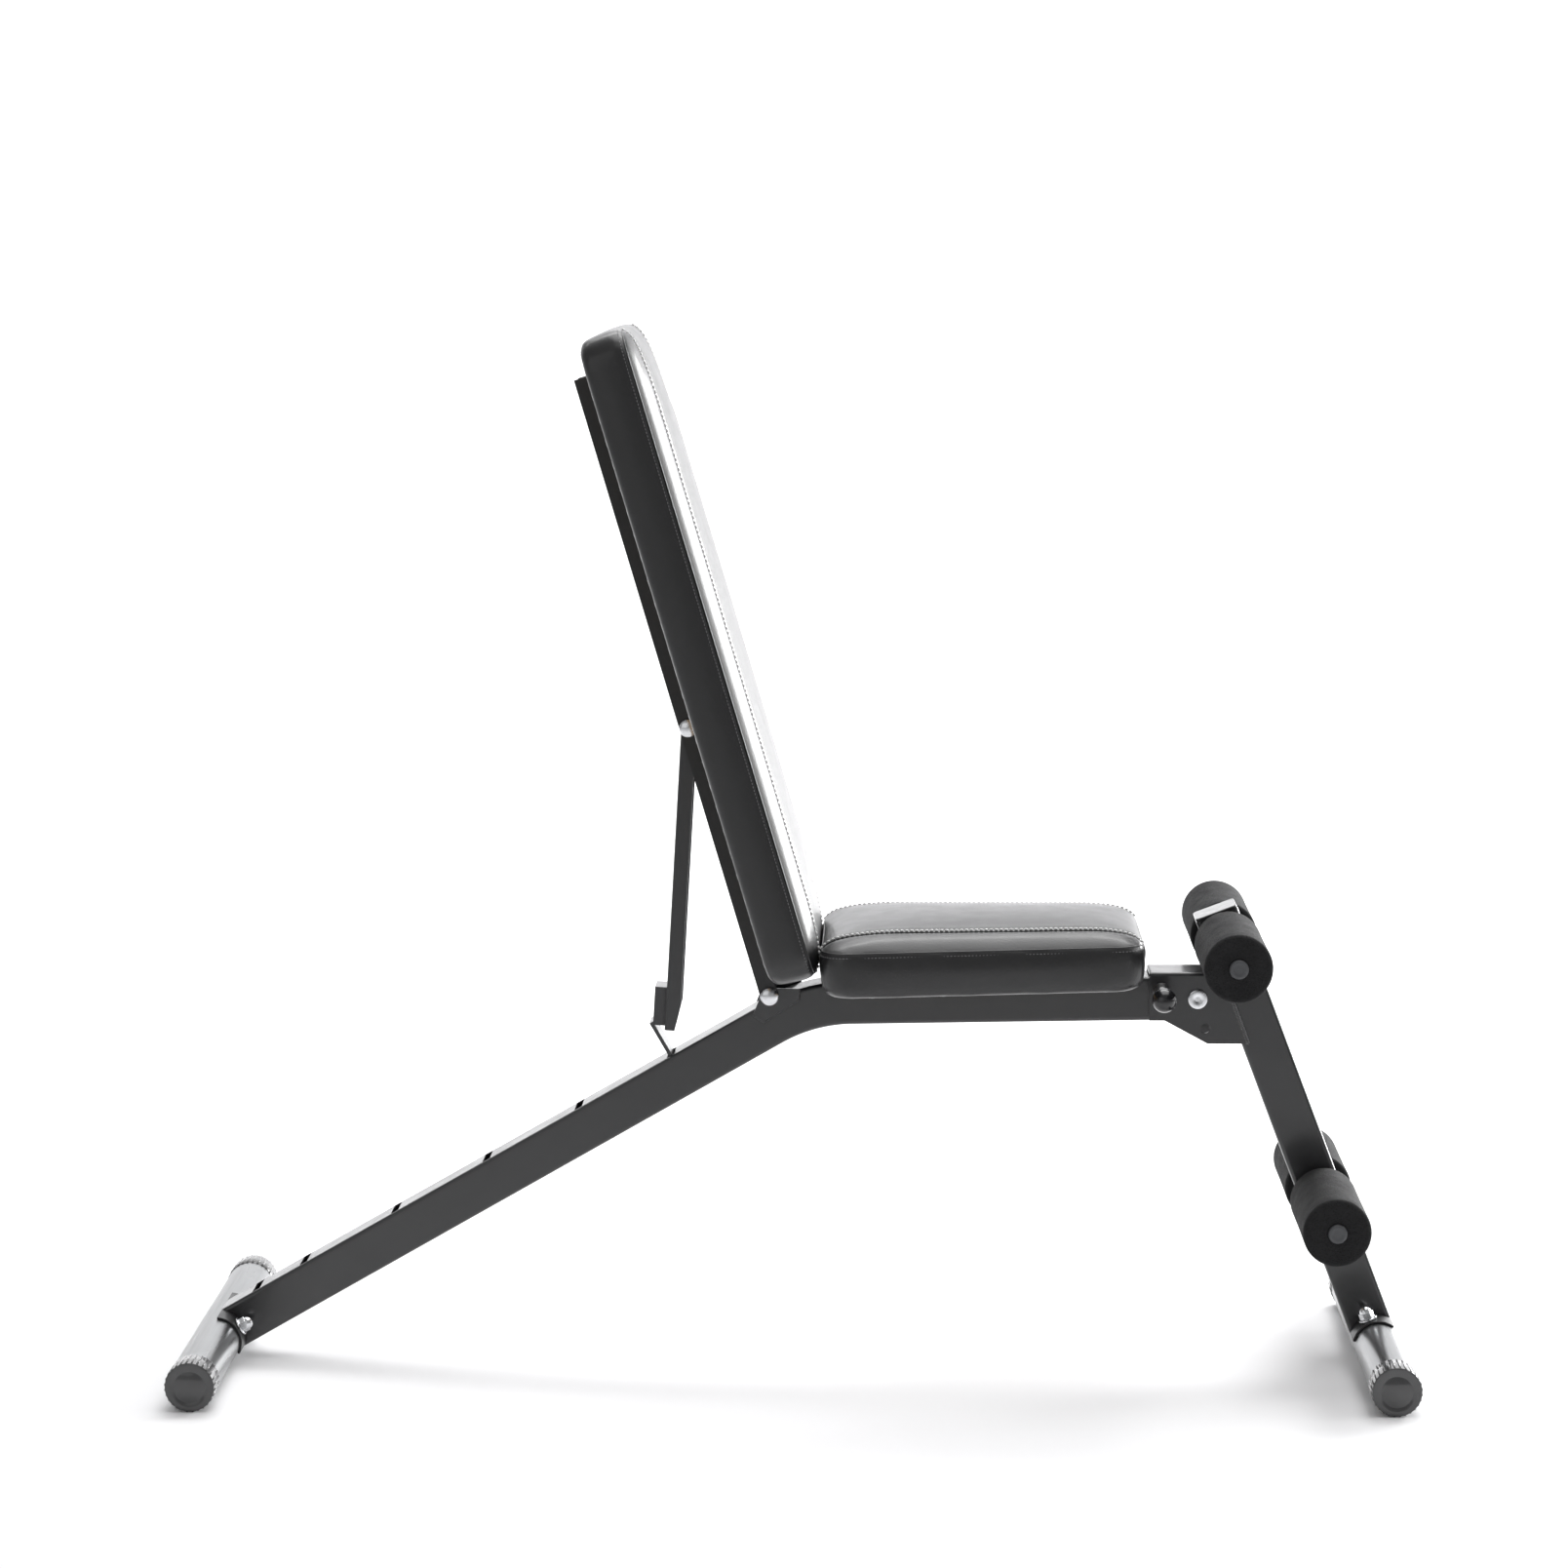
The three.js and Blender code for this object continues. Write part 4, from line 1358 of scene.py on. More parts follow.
@dataclass
class MainFrame:
    """Bent square tube with its slots, ears and plug."""

    palette: Palette
    fasteners: Fasteners
    beads: bpy.types.NodeTree
    side: float = 45.0
    wall: float = 2.0
    corner: float = 4.0
    bend_x: float = 14.0
    bend_z: float = 376.0
    bend_radius: float = 170.0
    pitch: float = 0.9
    front_end: float = 7.0
    saddle_radius: float = 27.0
    slots: tuple[float, ...] = (120.5, 230.8, 341.1, 451.4, 561.7, 619.0)
    slot_width: float = 9.0
    slot_length: float = 37.0
    pin_offset: tuple[float, float] = (-37.0, 8.0)
    slope: float = field(init=False)

    def __post_init__(self) -> None:
        """Work out the slope of the rear part from the rear foot."""
        self.foot = box_middle("rear_foot_tube")
        self.pivot = joint_place("back_recline")
        self.fold = joint_place("leg_fold")
        rise = self.bend_z - self.foot.z / MM
        self.slope = math.degrees(math.atan2(rise, self.bend_x - self.foot.x / MM))

    def mouth(self, distance: float) -> tuple[float, float]:
        """Point on the top of the sloping part, a distance down from below the back pivot.

        Args:
            distance: Distance along the sloping part in millimetres.

        Returns:
            Row-frame x and z in millimetres.
        """
        c, s = math.cos(math.radians(self.slope)), math.sin(math.radians(self.slope))
        along = (self.pivot.x / MM - self.bend_x) * c + (self.pivot.z / MM - self.bend_z) * s - distance
        half = self.side / 2
        return (self.bend_x + along * c - half * s, self.bend_z + along * s + half * c)

    def stations(self) -> list[tuple[float, float, float]]:
        """Centre line as (x, z, slope in degrees), from the rear foot to the front end.

        Returns:
            The stations in millimetres and degrees.
        """
        c, s = math.cos(math.radians(self.slope)), math.sin(math.radians(self.slope))
        turn = math.radians(self.slope - self.pitch)
        reach = self.bend_radius * math.tan(turn / 2)
        start_x, start_z = self.bend_x - reach * c, self.bend_z - reach * s
        foot_x, foot_z = self.foot.x / MM, self.foot.z / MM
        rows = [
            (foot_x + (start_x - foot_x) * k / 24, foot_z + (start_z - foot_z) * k / 24, self.slope)
            for k in range(25)
        ]
        for k in range(1, 33):
            angle = math.radians(self.slope) - turn * k / 32
            x = start_x + self.bend_radius * (math.sin(math.radians(self.slope)) - math.sin(angle))
            z = start_z + self.bend_radius * (math.cos(angle) - math.cos(math.radians(self.slope)))
            rows.append((x, z, math.degrees(angle)))
        pc, ps = math.cos(math.radians(self.pitch)), math.sin(math.radians(self.pitch))
        last_x, last_z, _ = rows[-1]
        length = (self.fold.x / MM - last_x) / pc + self.front_end
        rows += [
            (last_x + length * pc * k / 8, last_z + length * ps * k / 8, self.pitch)
            for k in range(1, 9)
        ]
        return rows

    def sweep(self) -> bpy.types.Object:
        """Hollow tube along the centre line.

        Returns:
            The tube without its cuts.
        """
        half = self.side / 2
        loops = [
            rounded(half, half, self.corner, 7),
            rounded(half - self.wall, half - self.wall, self.corner - self.wall, 7),
        ]
        bm = bmesh.new()
        stacks = []
        for loop in loops:
            rows = []
            for x, z, slope in self.stations():
                c, s = math.cos(math.radians(slope)), math.sin(math.radians(slope))
                rows.append([bm.verts.new((x - v * s, u, z + v * c)) for u, v in loop])
            stacks.append(rows)
        count = len(loops[0])
        for rows in stacks:
            for low, high in zip(rows, rows[1:]):
                for i in range(count):
                    j = (i + 1) % count
                    bm.faces.new((low[i], low[j], high[j], high[i]))
        for end in (0, -1):
            outer, inner = stacks[0][end], stacks[1][end]
            for i in range(count):
                j = (i + 1) % count
                bm.faces.new((outer[i], outer[j], inner[j], inner[i]))
        return from_bmesh("frame_tube", bm, Matrix.Scale(MM, 4))

    def build(self) -> None:
        """Make the tube, its plug, ears and weld beads."""
        tube = self.sweep()
        tools = []
        for k, distance in enumerate(self.slots):
            x, z = self.mouth(distance)
            axes = Axes(Vector((x, 0.0, z)) * MM, 90.0 - self.slope)
            half_length, half_width = self.slot_length / 2, self.slot_width / 2
            outline = rounded(6.0, half_length, 1.5, 3)
            tool = extrude_up(f"slot_{k}", [outline], [-half_width, half_width], axes)
            tools.append(tool)
        world = Axes(Vector((0.0, 0.0, 0.0)))
        foot = along_y(world, self.foot.x / MM, 0.0, self.foot.z / MM)
        tools.append(drill("mouth", self.saddle_radius, (-THROUGH, THROUGH), foot, 96))
        px, pz = self.fold.x / MM + self.pin_offset[0], self.fold.z / MM + self.pin_offset[1]
        tools.append(drill("pin_hole", 4.3, (0.0, THROUGH), along_y(world, px, 0.0, pz, Side.NEAR)))
        dress(
            ease_edges(carve(tube, tools), 0.35, 2, 50.0),
            self.palette,
            Finish.PAINT,
            Body.FRAME,
            ["main_tube"],
        )
        self.plug(world)
        self.ears()

    def plug(self, world: Axes) -> None:
        """End plug of the front opening.

        Args:
            world: Row-frame axes; not used.
        """
        low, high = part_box("front_tube_plug")
        middle = (low + high) / 2
        axes = Axes(Vector((middle.x, 0.0, middle.z)), 90.0 - self.pitch)
        outline = rounded(21.9, 21.9, self.corner)
        piece = extrude_up("front_end_plug", [outline], [-0.7, 0.7], axes)
        dress(ease_edges(piece, 0.5), self.palette, Finish.BLACK, Body.FRAME, ["front_tube_plug"])

    def ears(self) -> None:
        """Ear plates on both sides with their weld beads."""
        c, s = math.cos(math.radians(self.slope)), math.sin(math.radians(self.slope))
        px, pz = self.pivot.x / MM - self.bend_x, self.pivot.z / MM - self.bend_z
        lower, rise = px * c + pz * s, -px * s + pz * c
        half = self.side / 2
        outline: Outline = [
            (lower - 25, half - 4), (lower - 19, half - 15), (lower + 24, half - 13), (lower + 30, half - 4)
        ]
        outline += arc(lower, rise, 10.0, 20.0, 160.0, 14)
        axes = Axes(Vector((self.bend_x, 0.0, self.bend_z)) * MM, -self.slope)
        for side in Side:
            y0, y1 = span_y(f"ear_{side.word}")
            plate = prism(f"pivot_ear_{side.word}", outline, y0, y1, axes)
            hole = drill("ear_hole", 4.3, (-9.0, 9.0), along_y(axes, lower, (y0 + y1) / 2, rise))
            dress(
                ease_edges(carve(plate, [hole]), 0.5),
                self.palette,
                Finish.PAINT,
                Body.FRAME,
                [f"ear_{side.word}"],
            )
            y = side.value * (half + 1.2)
            rim = ((-24.5, -5.0), (-19.0, -15.5), (24.0, -13.5), (29.5, -5.0))
            path = [axes.point(lower + x, y, half + z) for x, z in rim]
            paint = self.palette.get(Finish.PAINT)
            bead = SMALL_WELD.lay(f"ear_weld_{side.word}", self.beads, path, paint)
            dress(bead, self.palette, Finish.PAINT, Body.FRAME)


# ---------------------------------------------------------------------------------------
# Floor bars


@dataclass
class FloorBar:
    """Round floor tube with saddle, bolts, cap nuts and ribbed end caps."""

    palette: Palette
    fasteners: Fasteners
    ribs: bpy.types.NodeTree
    prefix: str
    body: Body
    tilt: float
    radius: float = 24.2
    wall: float = 1.6
    saddle_thick: float = 2.5
    saddle_half_angle: float = 57.0
    saddle_length: float = 104.0
    bolt_spread: float = 38.0
    cap_radius: float = 24.75
    rib_count: int = 28

    def build(self) -> None:
        """Make the whole bar."""
        centre = box_middle(f"{self.prefix}_foot_tube")
        self.axes = Axes(centre, self.tilt)
        self.tube()
        self.saddle()
        for side in Side:
            self.bolt(side)
            self.cap(side)

    def tube(self) -> None:
        """Plated tube."""
        y0, y1 = span_y(f"{self.prefix}_foot_tube")
        inner = self.radius - self.wall
        profile = [(inner, y0), (self.radius - 0.3, y0), (self.radius, y0 + 0.3)]
        profile += [(self.radius, y0 + (y1 - y0) * k / 8) for k in range(1, 8)]
        profile += [(self.radius, y1 - 0.3), (self.radius - 0.3, y1), (inner, y1)]
        piece = turned(f"{self.prefix}_floor_tube", profile, along_y(self.axes, 0, 0, 0), 96, True)
        dress(ease_edges(piece, 0.0), self.palette, Finish.CHROME, self.body, [f"{self.prefix}_foot_tube"])

    def saddle(self) -> None:
        """Curved plate between the tube and the frame."""
        inner = self.radius + 0.15
        outer = inner + self.saddle_thick
        start, end = 90 - self.saddle_half_angle, 90 + self.saddle_half_angle
        outline = arc(0, 0, outer, start, end, 40) + arc(0, 0, inner, end, start, 40)
        half = self.saddle_length / 2
        piece = prism(f"{self.prefix}_saddle_plate", outline, -half, half, self.axes)
        # The saddle takes the darker copy of the frame paint: painted shade.
        dress(
            ease_edges(piece, 0.6, 3), self.palette, Finish.SHADED_PAINT, self.body, [f"{self.prefix}_saddle"]
        )

    def bolt(self, side: Side) -> None:
        """One bolt and cap nut through the tube.

        Args:
            side: Which side of the mid-plane.
        """
        y = side.value * self.bolt_spread
        below = self.axes.matrix() @ Matrix.Translation((0, y, -self.radius - 0.3))
        above = self.axes.matrix() @ Matrix.Translation((0, y, self.radius + self.saddle_thick + 0.45))
        word = f"{self.prefix}_bolt_{side.word}"
        self.fasteners.dome_bolt(f"{word}_zinc", word, below, self.body, 4.0, 8.0, 4.5, 62.0)
        word = f"{self.prefix}_nut_{side.word}"
        self.fasteners.cap_nut(f"{word}_zinc", word, above, self.body, 9.5, 14.5)

    def cap(self, side: Side) -> None:
        """Ribbed end cap with a shallow ring on its face.

        Args:
            side: Which end of the bar.
        """
        node = f"{self.prefix}_cap_{side.word}"
        low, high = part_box(node)
        length = (high.y - low.y) / MM
        outer = (high.y if side is Side.FAR else low.y) / MM
        inner_y = outer - side.value * length
        r = self.cap_radius
        wall = self.radius + 0.2
        profile = [
            (0.0, length - 0.3),
            (14.8, length - 0.3),
            (15.4, length - 0.6),
            (16.2, length - 0.6),
            (16.8, length - 0.2),
        ]
        ease = 1.2
        profile += [(r - ease, length)]
        profile += [
            (r - ease + ease * math.sin(math.radians(a)), length - ease + ease * math.cos(math.radians(a)))
            for a in range(15, 91, 15)
        ]
        profile += [
            (r, length * 0.5),
            (r, 0.5),
            (r - 0.4, 0.0),
            (wall, 0.0),
            (wall, length - 3.0),
            (0.0, length - 3.0),
        ]
        matrix = along_y(Axes(self.axes.origin), 0, inner_y, 0, side)
        shell = turned(f"{node}_shell", profile, matrix, 72)
        ease_edges(shell, 0.0)
        ring = bmesh.new()
        middle = self.axes.origin.copy()
        middle.y = (inner_y + side.value * (length - 1.0) / 2) * MM
        for k in range(self.rib_count):
            a = 2 * math.pi * (k + 0.5) / self.rib_count
            offset = Vector((math.cos(a), 0.0, math.sin(a))) * (r - 0.6) * MM
            ring.verts.new(middle + offset)
        mesh = bpy.data.meshes.new("rib_points")
        ring.to_mesh(mesh)
        ring.free()
        carrier = new_object("rib_points", mesh)
        values = {
            "Length": (length - 1.0) * MM,
            "Radius": 1.25 * MM,
            "Material": self.palette.get(Finish.BLACK),
        }
        ribs = run_tree(f"{node}_ribs", carrier, self.ribs, values)
        piece = join_into(f"{node}_ribbed", [shell, ribs])
        dress(piece, self.palette, Finish.BLACK, self.body, [node])


# ---------------------------------------------------------------------------------------
# Cushions


class Pad(Enum):
    """The two upholstered pads."""

    BACK = "back"
    SEAT = "seat"


@dataclass
class Cushion:
    """Stuffed pad over a board: swollen vinyl, two topstitched seams, boxing welt and staples."""

    palette: Palette
    trees: Trees
    pad: Pad
    axes: Matrix
    length: float
    rear_half: float
    front_half: float
    profile: Sequence[tuple[float, float]]
    body: Body
    seam_rear: float = 82.0
    seam_front: float = 82.0
    boxing: float = 46.0
    end_ease: float = 0.9
    end_round: float = 7.0
    pocket_height: float = 12.6
    pocket_inset: float = 12.5
    voxel: float = 5.0
    swell_cap: float = 2.6

    def outline(self, side_inset: float, end_inset: float, steps: int = 10) -> Outline:
        """Rounded four-sided plan, in millimetres from the pad's rear end.

        Args:
            side_inset: How far the sides are drawn in.
            end_inset: How far the ends are drawn in.
            steps: Steps round each corner.

        Returns:
            The plan as (x, y).
        """
        radius = 26 + 0.35 * side_inset
        corners = (
            (self.length - end_inset, -(self.front_half - side_inset), -90),
            (self.length - end_inset, self.front_half - side_inset, 0),
            (end_inset, self.rear_half - side_inset, 90),
            (end_inset, -(self.rear_half - side_inset), 180),
        )
        points: Outline = []
        for x, y, start in corners:
            cx = x - radius if x > self.length / 2 else x + radius
            cy = y - radius if y > 0 else y + radius
            points += arc(cx, cy, radius, start, start + 90, steps)
        return points

    def blank(self) -> bpy.types.Object:
        """Plain closed body of the pad in its own axes, in metres.

        Returns:
            The pad before it is stuffed.
        """
        rows = []
        for height, inset in self.profile:
            tuck = self.end_round * math.exp(-height / self.end_round)
            loop = self.outline(inset, inset * self.end_ease + tuck)
            rows.append([(x * MM, y * MM, height * MM) for x, y in loop])
        return skinned(f"{self.pad.value}_pad", rows, Matrix.Identity(4))

    def remesh(self, piece: bpy.types.Object) -> None:
        """Even out the mesh so that it can swell.

        Args:
            piece: The cover.
        """
        step = piece.modifiers.new("even_mesh", "REMESH")
        step.mode = "VOXEL"
        step.voxel_size = self.voxel * MM
        step.adaptivity = 0.0
        settle(piece)
        self.relax(piece, 4)

    def relax(self, piece: bpy.types.Object, rounds: int) -> None:
        """Smooth the cover a number of times.

        Args:
            piece: The cover.
            rounds: How many times.
        """
        smooth = piece.modifiers.new("relax", "SMOOTH")
        smooth.factor = 0.5
        smooth.iterations = rounds
        settle(piece)

    def swell(self, piece: bpy.types.Object) -> None:
        """Blow the cover up against its stuffing, held along the board and the seams.

        Args:
            piece: The cover.
        """
        scene = bpy.context.scene
        before = [v.co.copy() for v in piece.data.vertices]
        group = piece.vertex_groups.new(name="held")
        for vertex in piece.data.vertices:
            x, y, z = vertex.co
            on_board = z < (self.pocket_height + 3.0) * MM
            on_seam = z > self.boxing * MM and abs(abs(y) - self.seam_y(x)) < 0.6 * self.voxel * MM
            group.add([vertex.index], 1.0 if on_board else 0.7 if on_seam else 0.0, "REPLACE")
        step = piece.modifiers.new("swell", "CLOTH")
        cloth = step.settings
        cloth.quality = 5
        cloth.mass = 0.3
        cloth.tension_stiffness = 25.0
        cloth.compression_stiffness = 25.0
        cloth.shear_stiffness = 10.0
        cloth.bending_stiffness = 8.0
        cloth.use_pressure = True
        cloth.uniform_pressure_force = 4.0
        cloth.vertex_group_mass = "held"
        cloth.pin_stiffness = 1.0
        cloth.effector_weights.gravity = 0.0
        step.collision_settings.use_collision = False
        step.point_cache.frame_start = 1
        step.point_cache.frame_end = 20
        for number in range(1, 21):
            scene.frame_set(number)
        evaluated = piece.evaluated_get(bpy.context.evaluated_depsgraph_get())
        moves = [v.co - old for v, old in zip(evaluated.data.vertices, before)]
        piece.modifiers.clear()
        scene.frame_set(1)
        furthest = max(move.length for move in moves) / MM
        share = min(1.0, self.swell_cap / furthest) if furthest > 0 else 0.0
        for vertex, old, move in zip(piece.data.vertices, before, moves):
            vertex.co = old + move * share
        LOG.info("%s pad swelled by up to %.1f mm, scaled by %.2f", self.pad.value, furthest, share)

    def refine(self, piece: bpy.types.Object) -> None:
        """Smooth the swollen cover and give it a finer mesh.

        Args:
            piece: The cover.
        """
        self.relax(piece, 5)
        step = piece.modifiers.new("finer", "SUBSURF")
        step.levels = 1
        step.render_levels = 1
        settle(piece)
        self.relax(piece, 3)

    def extent(self, piece: bpy.types.Object) -> list[tuple[float, float]]:
        """Lowest and highest coordinate of a piece on each axis."""
        places = [v.co.copy() for v in piece.data.vertices]
        return [(min(place[k] for place in places), max(place[k] for place in places)) for k in range(3)]

    def fit(self, piece: bpy.types.Object, size: Sequence[tuple[float, float]]) -> None:
        """Stretch the smoothed cover back to the size that it was cut to.

        Args:
            piece: The cover.
            size: Lowest and highest coordinate wanted on each axis.
        """
        for k, (now, want) in enumerate(zip(self.extent(piece), size)):
            share = (want[1] - want[0]) / (now[1] - now[0])
            for vertex in piece.data.vertices:
                vertex.co[k] = want[0] + (vertex.co[k] - now[0]) * share
        piece.data.update()

    def seam_y(self, x: float) -> float:
        """Distance of the topstitched seams from the mid-plane at x, in metres."""
        share = min(max(x / (self.length * MM), 0.0), 1.0)
        return (self.seam_rear + (self.seam_front - self.seam_rear) * share) * MM

    def sew(self, piece: bpy.types.Object) -> None:
        """Pull the cover in along its topstitched seams and leave a soft rise beside them.

        Args:
            piece: The cover.
        """
        mesh = piece.data
        normals = [v.normal.copy() for v in mesh.vertices]
        for vertex, normal in zip(mesh.vertices, normals):
            x, y, z = vertex.co
            if z < self.boxing * MM:
                continue
            across = (abs(y) - self.seam_y(x)) / MM
            push = -1.1 * math.exp(-((across / 2.6) ** 2)) + 0.4 * math.exp(
                -(((abs(across) - 10.0) / 6.0) ** 2)
            )
            vertex.co += normal * push * MM
        mesh.update()

    def pocket(self, piece: bpy.types.Object) -> None:
        """Cut the hollow for the board.

        Args:
            piece: The cover.
        """
        loop = self.outline(self.pocket_inset, self.pocket_inset)
        rows = [[(x, y, z) for x, y in loop] for z in (-6.0, self.pocket_height)]
        carve(piece, [skinned("pocket", rows, Matrix.Scale(MM, 4))])

    def seam_path(self, cover: BVHTree, sign: int, offset: float, lift: float) -> list[Vector]:
        """Points along a topstitched seam, over both ends down to the welt, in row axes.

        Args:
            cover: Search tree of the finished cover.
            sign: Which seam, by the sign of y.
            offset: Shift towards the far side in millimetres.
            lift: Height over the cover in millimetres.

        Returns:
            Points on the cover.
        """
        height, reach = 28.0, 40.0
        low = math.degrees(math.atan2(self.boxing - height, reach)) + 3
        rays = [(reach, 180.0 - low - (90 - low) * k / 12) for k in range(12)]
        rays += [(reach + (self.length - 2 * reach) * k / 60, 90.0) for k in range(61)]
        rays += [(self.length - reach, 90.0 - (90 - low) * k / 12) for k in range(1, 13)]
        points = []
        for x, angle in rays:
            a = math.radians(angle)
            y = sign * self.seam_y(x * MM) + offset * MM
            start = Vector((x * MM, y, height * MM))
            ray = Vector((math.cos(a), 0.0, math.sin(a)))
            hit, normal, _, _ = cover.ray_cast(start, ray)
            if hit is not None:
                out = normal if normal.dot(ray) > 0 else -normal
                points.append(self.axes @ (hit + out * lift * MM))
        return points

    def round_path(self, cover: BVHTree, height: float, lift: float) -> list[Vector]:
        """Points all round the side at a height, in row axes.

        Args:
            cover: Search tree of the finished cover.
            height: Height over the board side in millimetres.
            lift: Height over the cover in millimetres.

        Returns:
            Points on the cover.
        """
        middle = Vector((self.length * MM / 2, 0.0, height * MM))
        points = []
        for x, y in self.outline(0.0, 0.0, 14):
            target = Vector((x * MM, y * MM, middle.z))
            ray = (target - middle).normalized()
            hit, normal, _, _ = cover.ray_cast(target + ray * 0.04, -ray)
            if hit is not None:
                out = normal if normal.dot(ray) > 0 else -normal
                points.append(self.axes @ (hit + out * lift * MM))
        return points

    def staple_path(self, cover: BVHTree) -> list[Vector]:
        """Points on the underside beside the board, in row axes.

        Args:
            cover: Search tree of the finished cover.

        Returns:
            Points just off the underside.
        """
        points = []
        for x, y in self.outline(10.4, 10.4, 8):
            hit, _, _, _ = cover.ray_cast(Vector((x * MM, y * MM, -0.05)), Vector((0.0, 0.0, 1.0)))
            if hit is not None:
                points.append(self.axes @ (hit + Vector((0.0, 0.0, 0.12 * MM))))
        return points

    def cord(self, name: str, points: Sequence[Vector], radius: float, finish: Finish, closed: bool) -> None:
        """Sweep a cord along points and dress it.

        Args:
            name: Name of the piece.
            points: Points of the path.
            radius: Radius in millimetres.
            finish: Finish of the cord.
            closed: Whether the path closes.
        """
        values = {"Radius": radius * MM, "Spacing": 3.0 * MM, "Material": self.palette.get(finish)}
        made = run_tree(name, path_object(name + "_path", points, closed), self.trees.cord, values)
        dress(made, self.palette, finish, self.body)

    def stitch(
        self,
        name: str,
        points: Sequence[Vector],
        row: Beads,
        finish: Finish,
        closed: bool = False,
    ) -> None:
        """Lay a row of beads along points and dress it."""
        made = row.lay(name, self.trees.beads, points, self.palette.get(finish), closed)
        dress(made, self.palette, finish, self.body)

    def build(self) -> None:
        """Make the cover, its seams, its stitches and its staples."""
        word = self.pad.value
        piece = self.blank()
        size = self.extent(piece)
        self.remesh(piece)
        self.swell(piece)
        self.refine(piece)
        self.fit(piece, size)
        self.sew(piece)
        cover = BVHTree.FromObject(piece, bpy.context.evaluated_depsgraph_get())
        for sign, side in ((-1, "near"), (1, "far")):
            # Each seam line gets a near-black cord sunk into the cover: painted shade of the seam groove.
            self.cord(f"{word}_seam_{side}", self.seam_path(cover, sign, 0.0, -0.3), 1.15, Finish.SEAM, False)
            self.stitch(f"{word}_stitch_{side}", self.seam_path(cover, sign, 2.8, 0.9), STITCH, Finish.THREAD)
        self.cord(f"{word}_welt", self.round_path(cover, self.boxing, -0.35), 1.1, Finish.VINYL, True)
        lower = self.round_path(cover, self.boxing - 4.0, 0.0)
        self.stitch(f"{word}_welt_stitch", lower, FINE_STITCH, Finish.DARK_THREAD, True)
        self.stitch(f"{word}_staples", self.staple_path(cover), STAPLE, Finish.ZINC, True)
        self.pocket(piece)
        piece.data.transform(self.axes)
        piece.data.polygons.foreach_set("use_smooth", [True] * len(piece.data.polygons))
        piece.data.set_sharp_from_angle(angle=math.radians(55))
        dress(piece, self.palette, Finish.VINYL, self.body, [f"{word}_cushion"])


# ---------------------------------------------------------------------------------------
# Backrest and strut


def channel_section(
    outer: float,
    inner: float,
    front: float,
    web: float,
    rear: float,
    radius: float,
) -> Outline:
    """Outline of a folded channel in local x-y: web at +x, open towards -x.

    Args:
        outer: Half the width over the sides.
        inner: Half the width between the sides.
        front: Outer face of the web along x.
        web: Thickness of the web.
        rear: Where the sides end along x.
        radius: Outer bend radius.

    Returns:
        The closed outline.
    """
    points: Outline = [(rear, -outer)]
    points += arc(front - radius, -outer + radius, radius, -90, 0, 5)
    points += arc(front - radius, outer - radius, radius, 0, 90, 5)
    points += [(rear, outer), (rear, inner)]
    inside = max(radius - web, 0.4)
    points += arc(front - web - inside, inner - inside, inside, 90, 0, 4)
    points += arc(front - web - inside, -inner + inside, inside, 0, -90, 4)
    points.append((rear, -inner))
    return points


@dataclass
class Backrest:
    """Folded channel with its pivot bolts, spacers and board screws."""

    palette: Palette
    fasteners: Fasteners
    axes: Axes
    outer: float = 28.75
    inner: float = 26.25
    rear: float = -9.2
    front: float = 10.2
    web: float = 2.0
    top: float = 658.0
    web_start: float = 17.0
    strut_height: float = 288.3
    screws: tuple[float, ...] = (62.0, 190.0, 430.0, 610.0)

    def build(self) -> None:
        """Make the channel and its fasteners."""
        section = channel_section(self.outer, self.inner, self.front, self.web, self.rear, 3.0)
        levels = [-9.2] + [self.top * k / 12 for k in range(13)]
        channel = extrude_up("backrest_channel", [section], levels, self.axes)
        side: Outline = [(self.rear, self.top - 0.2)]
        side += arc(0, 0, 9.2, 180, 360, 24)
        side += [(self.front + 0.1, self.web_start), (self.front + 0.1, self.top - 0.2)]
        keep = prism("channel_side", side, -40, 40, self.axes)
        carve(channel, [keep], "INTERSECT")
        notch = block(
            "channel_notch",
            (0.0, -self.inner + 0.01, -20.0),
            (20.0, self.inner - 0.01, self.web_start),
            self.axes,
        )
        tools = [notch]
        for z in (0.0, self.strut_height):
            tools.append(drill("bolt_hole", 4.35, (-THROUGH, THROUGH), along_y(self.axes, 0, 0, z)))
        carve(channel, tools)
        # The channel takes the darker copy of the frame paint: painted shade under the pad.
        dress(
            ease_edges(channel, 0.4, 2, 50.0),
            self.palette,
            Finish.SHADED_PAINT,
            Body.BACKREST,
            ["back_channel"],
        )
        for k, z in enumerate(self.screws):
            place = self.axes.matrix() @ Matrix.Translation(
                (self.front - self.web - 0.15, 0, z)
            ) @ Matrix.Rotation(math.pi / 2, 4, "Y")
            self.fasteners.pan_screw(
                f"board_screw_{k + 1}_zinc", f"board_screw_{k + 1}", place, Body.BACKREST
            )
        for prefix, z, body in (
            ("back_pivot", 0.0, Body.FRAME),
            ("strut_pivot", self.strut_height, Body.BACKREST),
        ):
            head = along_y(self.axes, 0, -self.outer - 0.3, z)
            nut = along_y(self.axes, 0, self.outer + 0.3, z)
            self.fasteners.dome_bolt(f"{prefix}_bolt_zinc", f"{prefix}_bolt", head, body, 4.0, 9.5, 5.5, 65.0)
            self.fasteners.cap_nut(f"{prefix}_nut_zinc", f"{prefix}_nut", nut, body, 9.5, 12.0)
        for side_name in Side:
            y0, y1 = span_y(f"strut_spacer_{side_name.word}")
            ring = [(4.3, y0), (6.6, y0), (7.0, y0 + 0.4), (7.0, y1 - 0.4), (6.6, y1), (4.3, y1)]
            piece = turned(
                f"strut_spacer_{side_name.word}_ring",
                ring,
                along_y(self.axes, 0, 0, self.strut_height),
                40,
                True,
            )
            dress(
                ease_edges(piece, 0.0),
                self.palette,
                Finish.ZINC,
                Body.BACKREST,
                [f"strut_spacer_{side_name.word}"],
            )


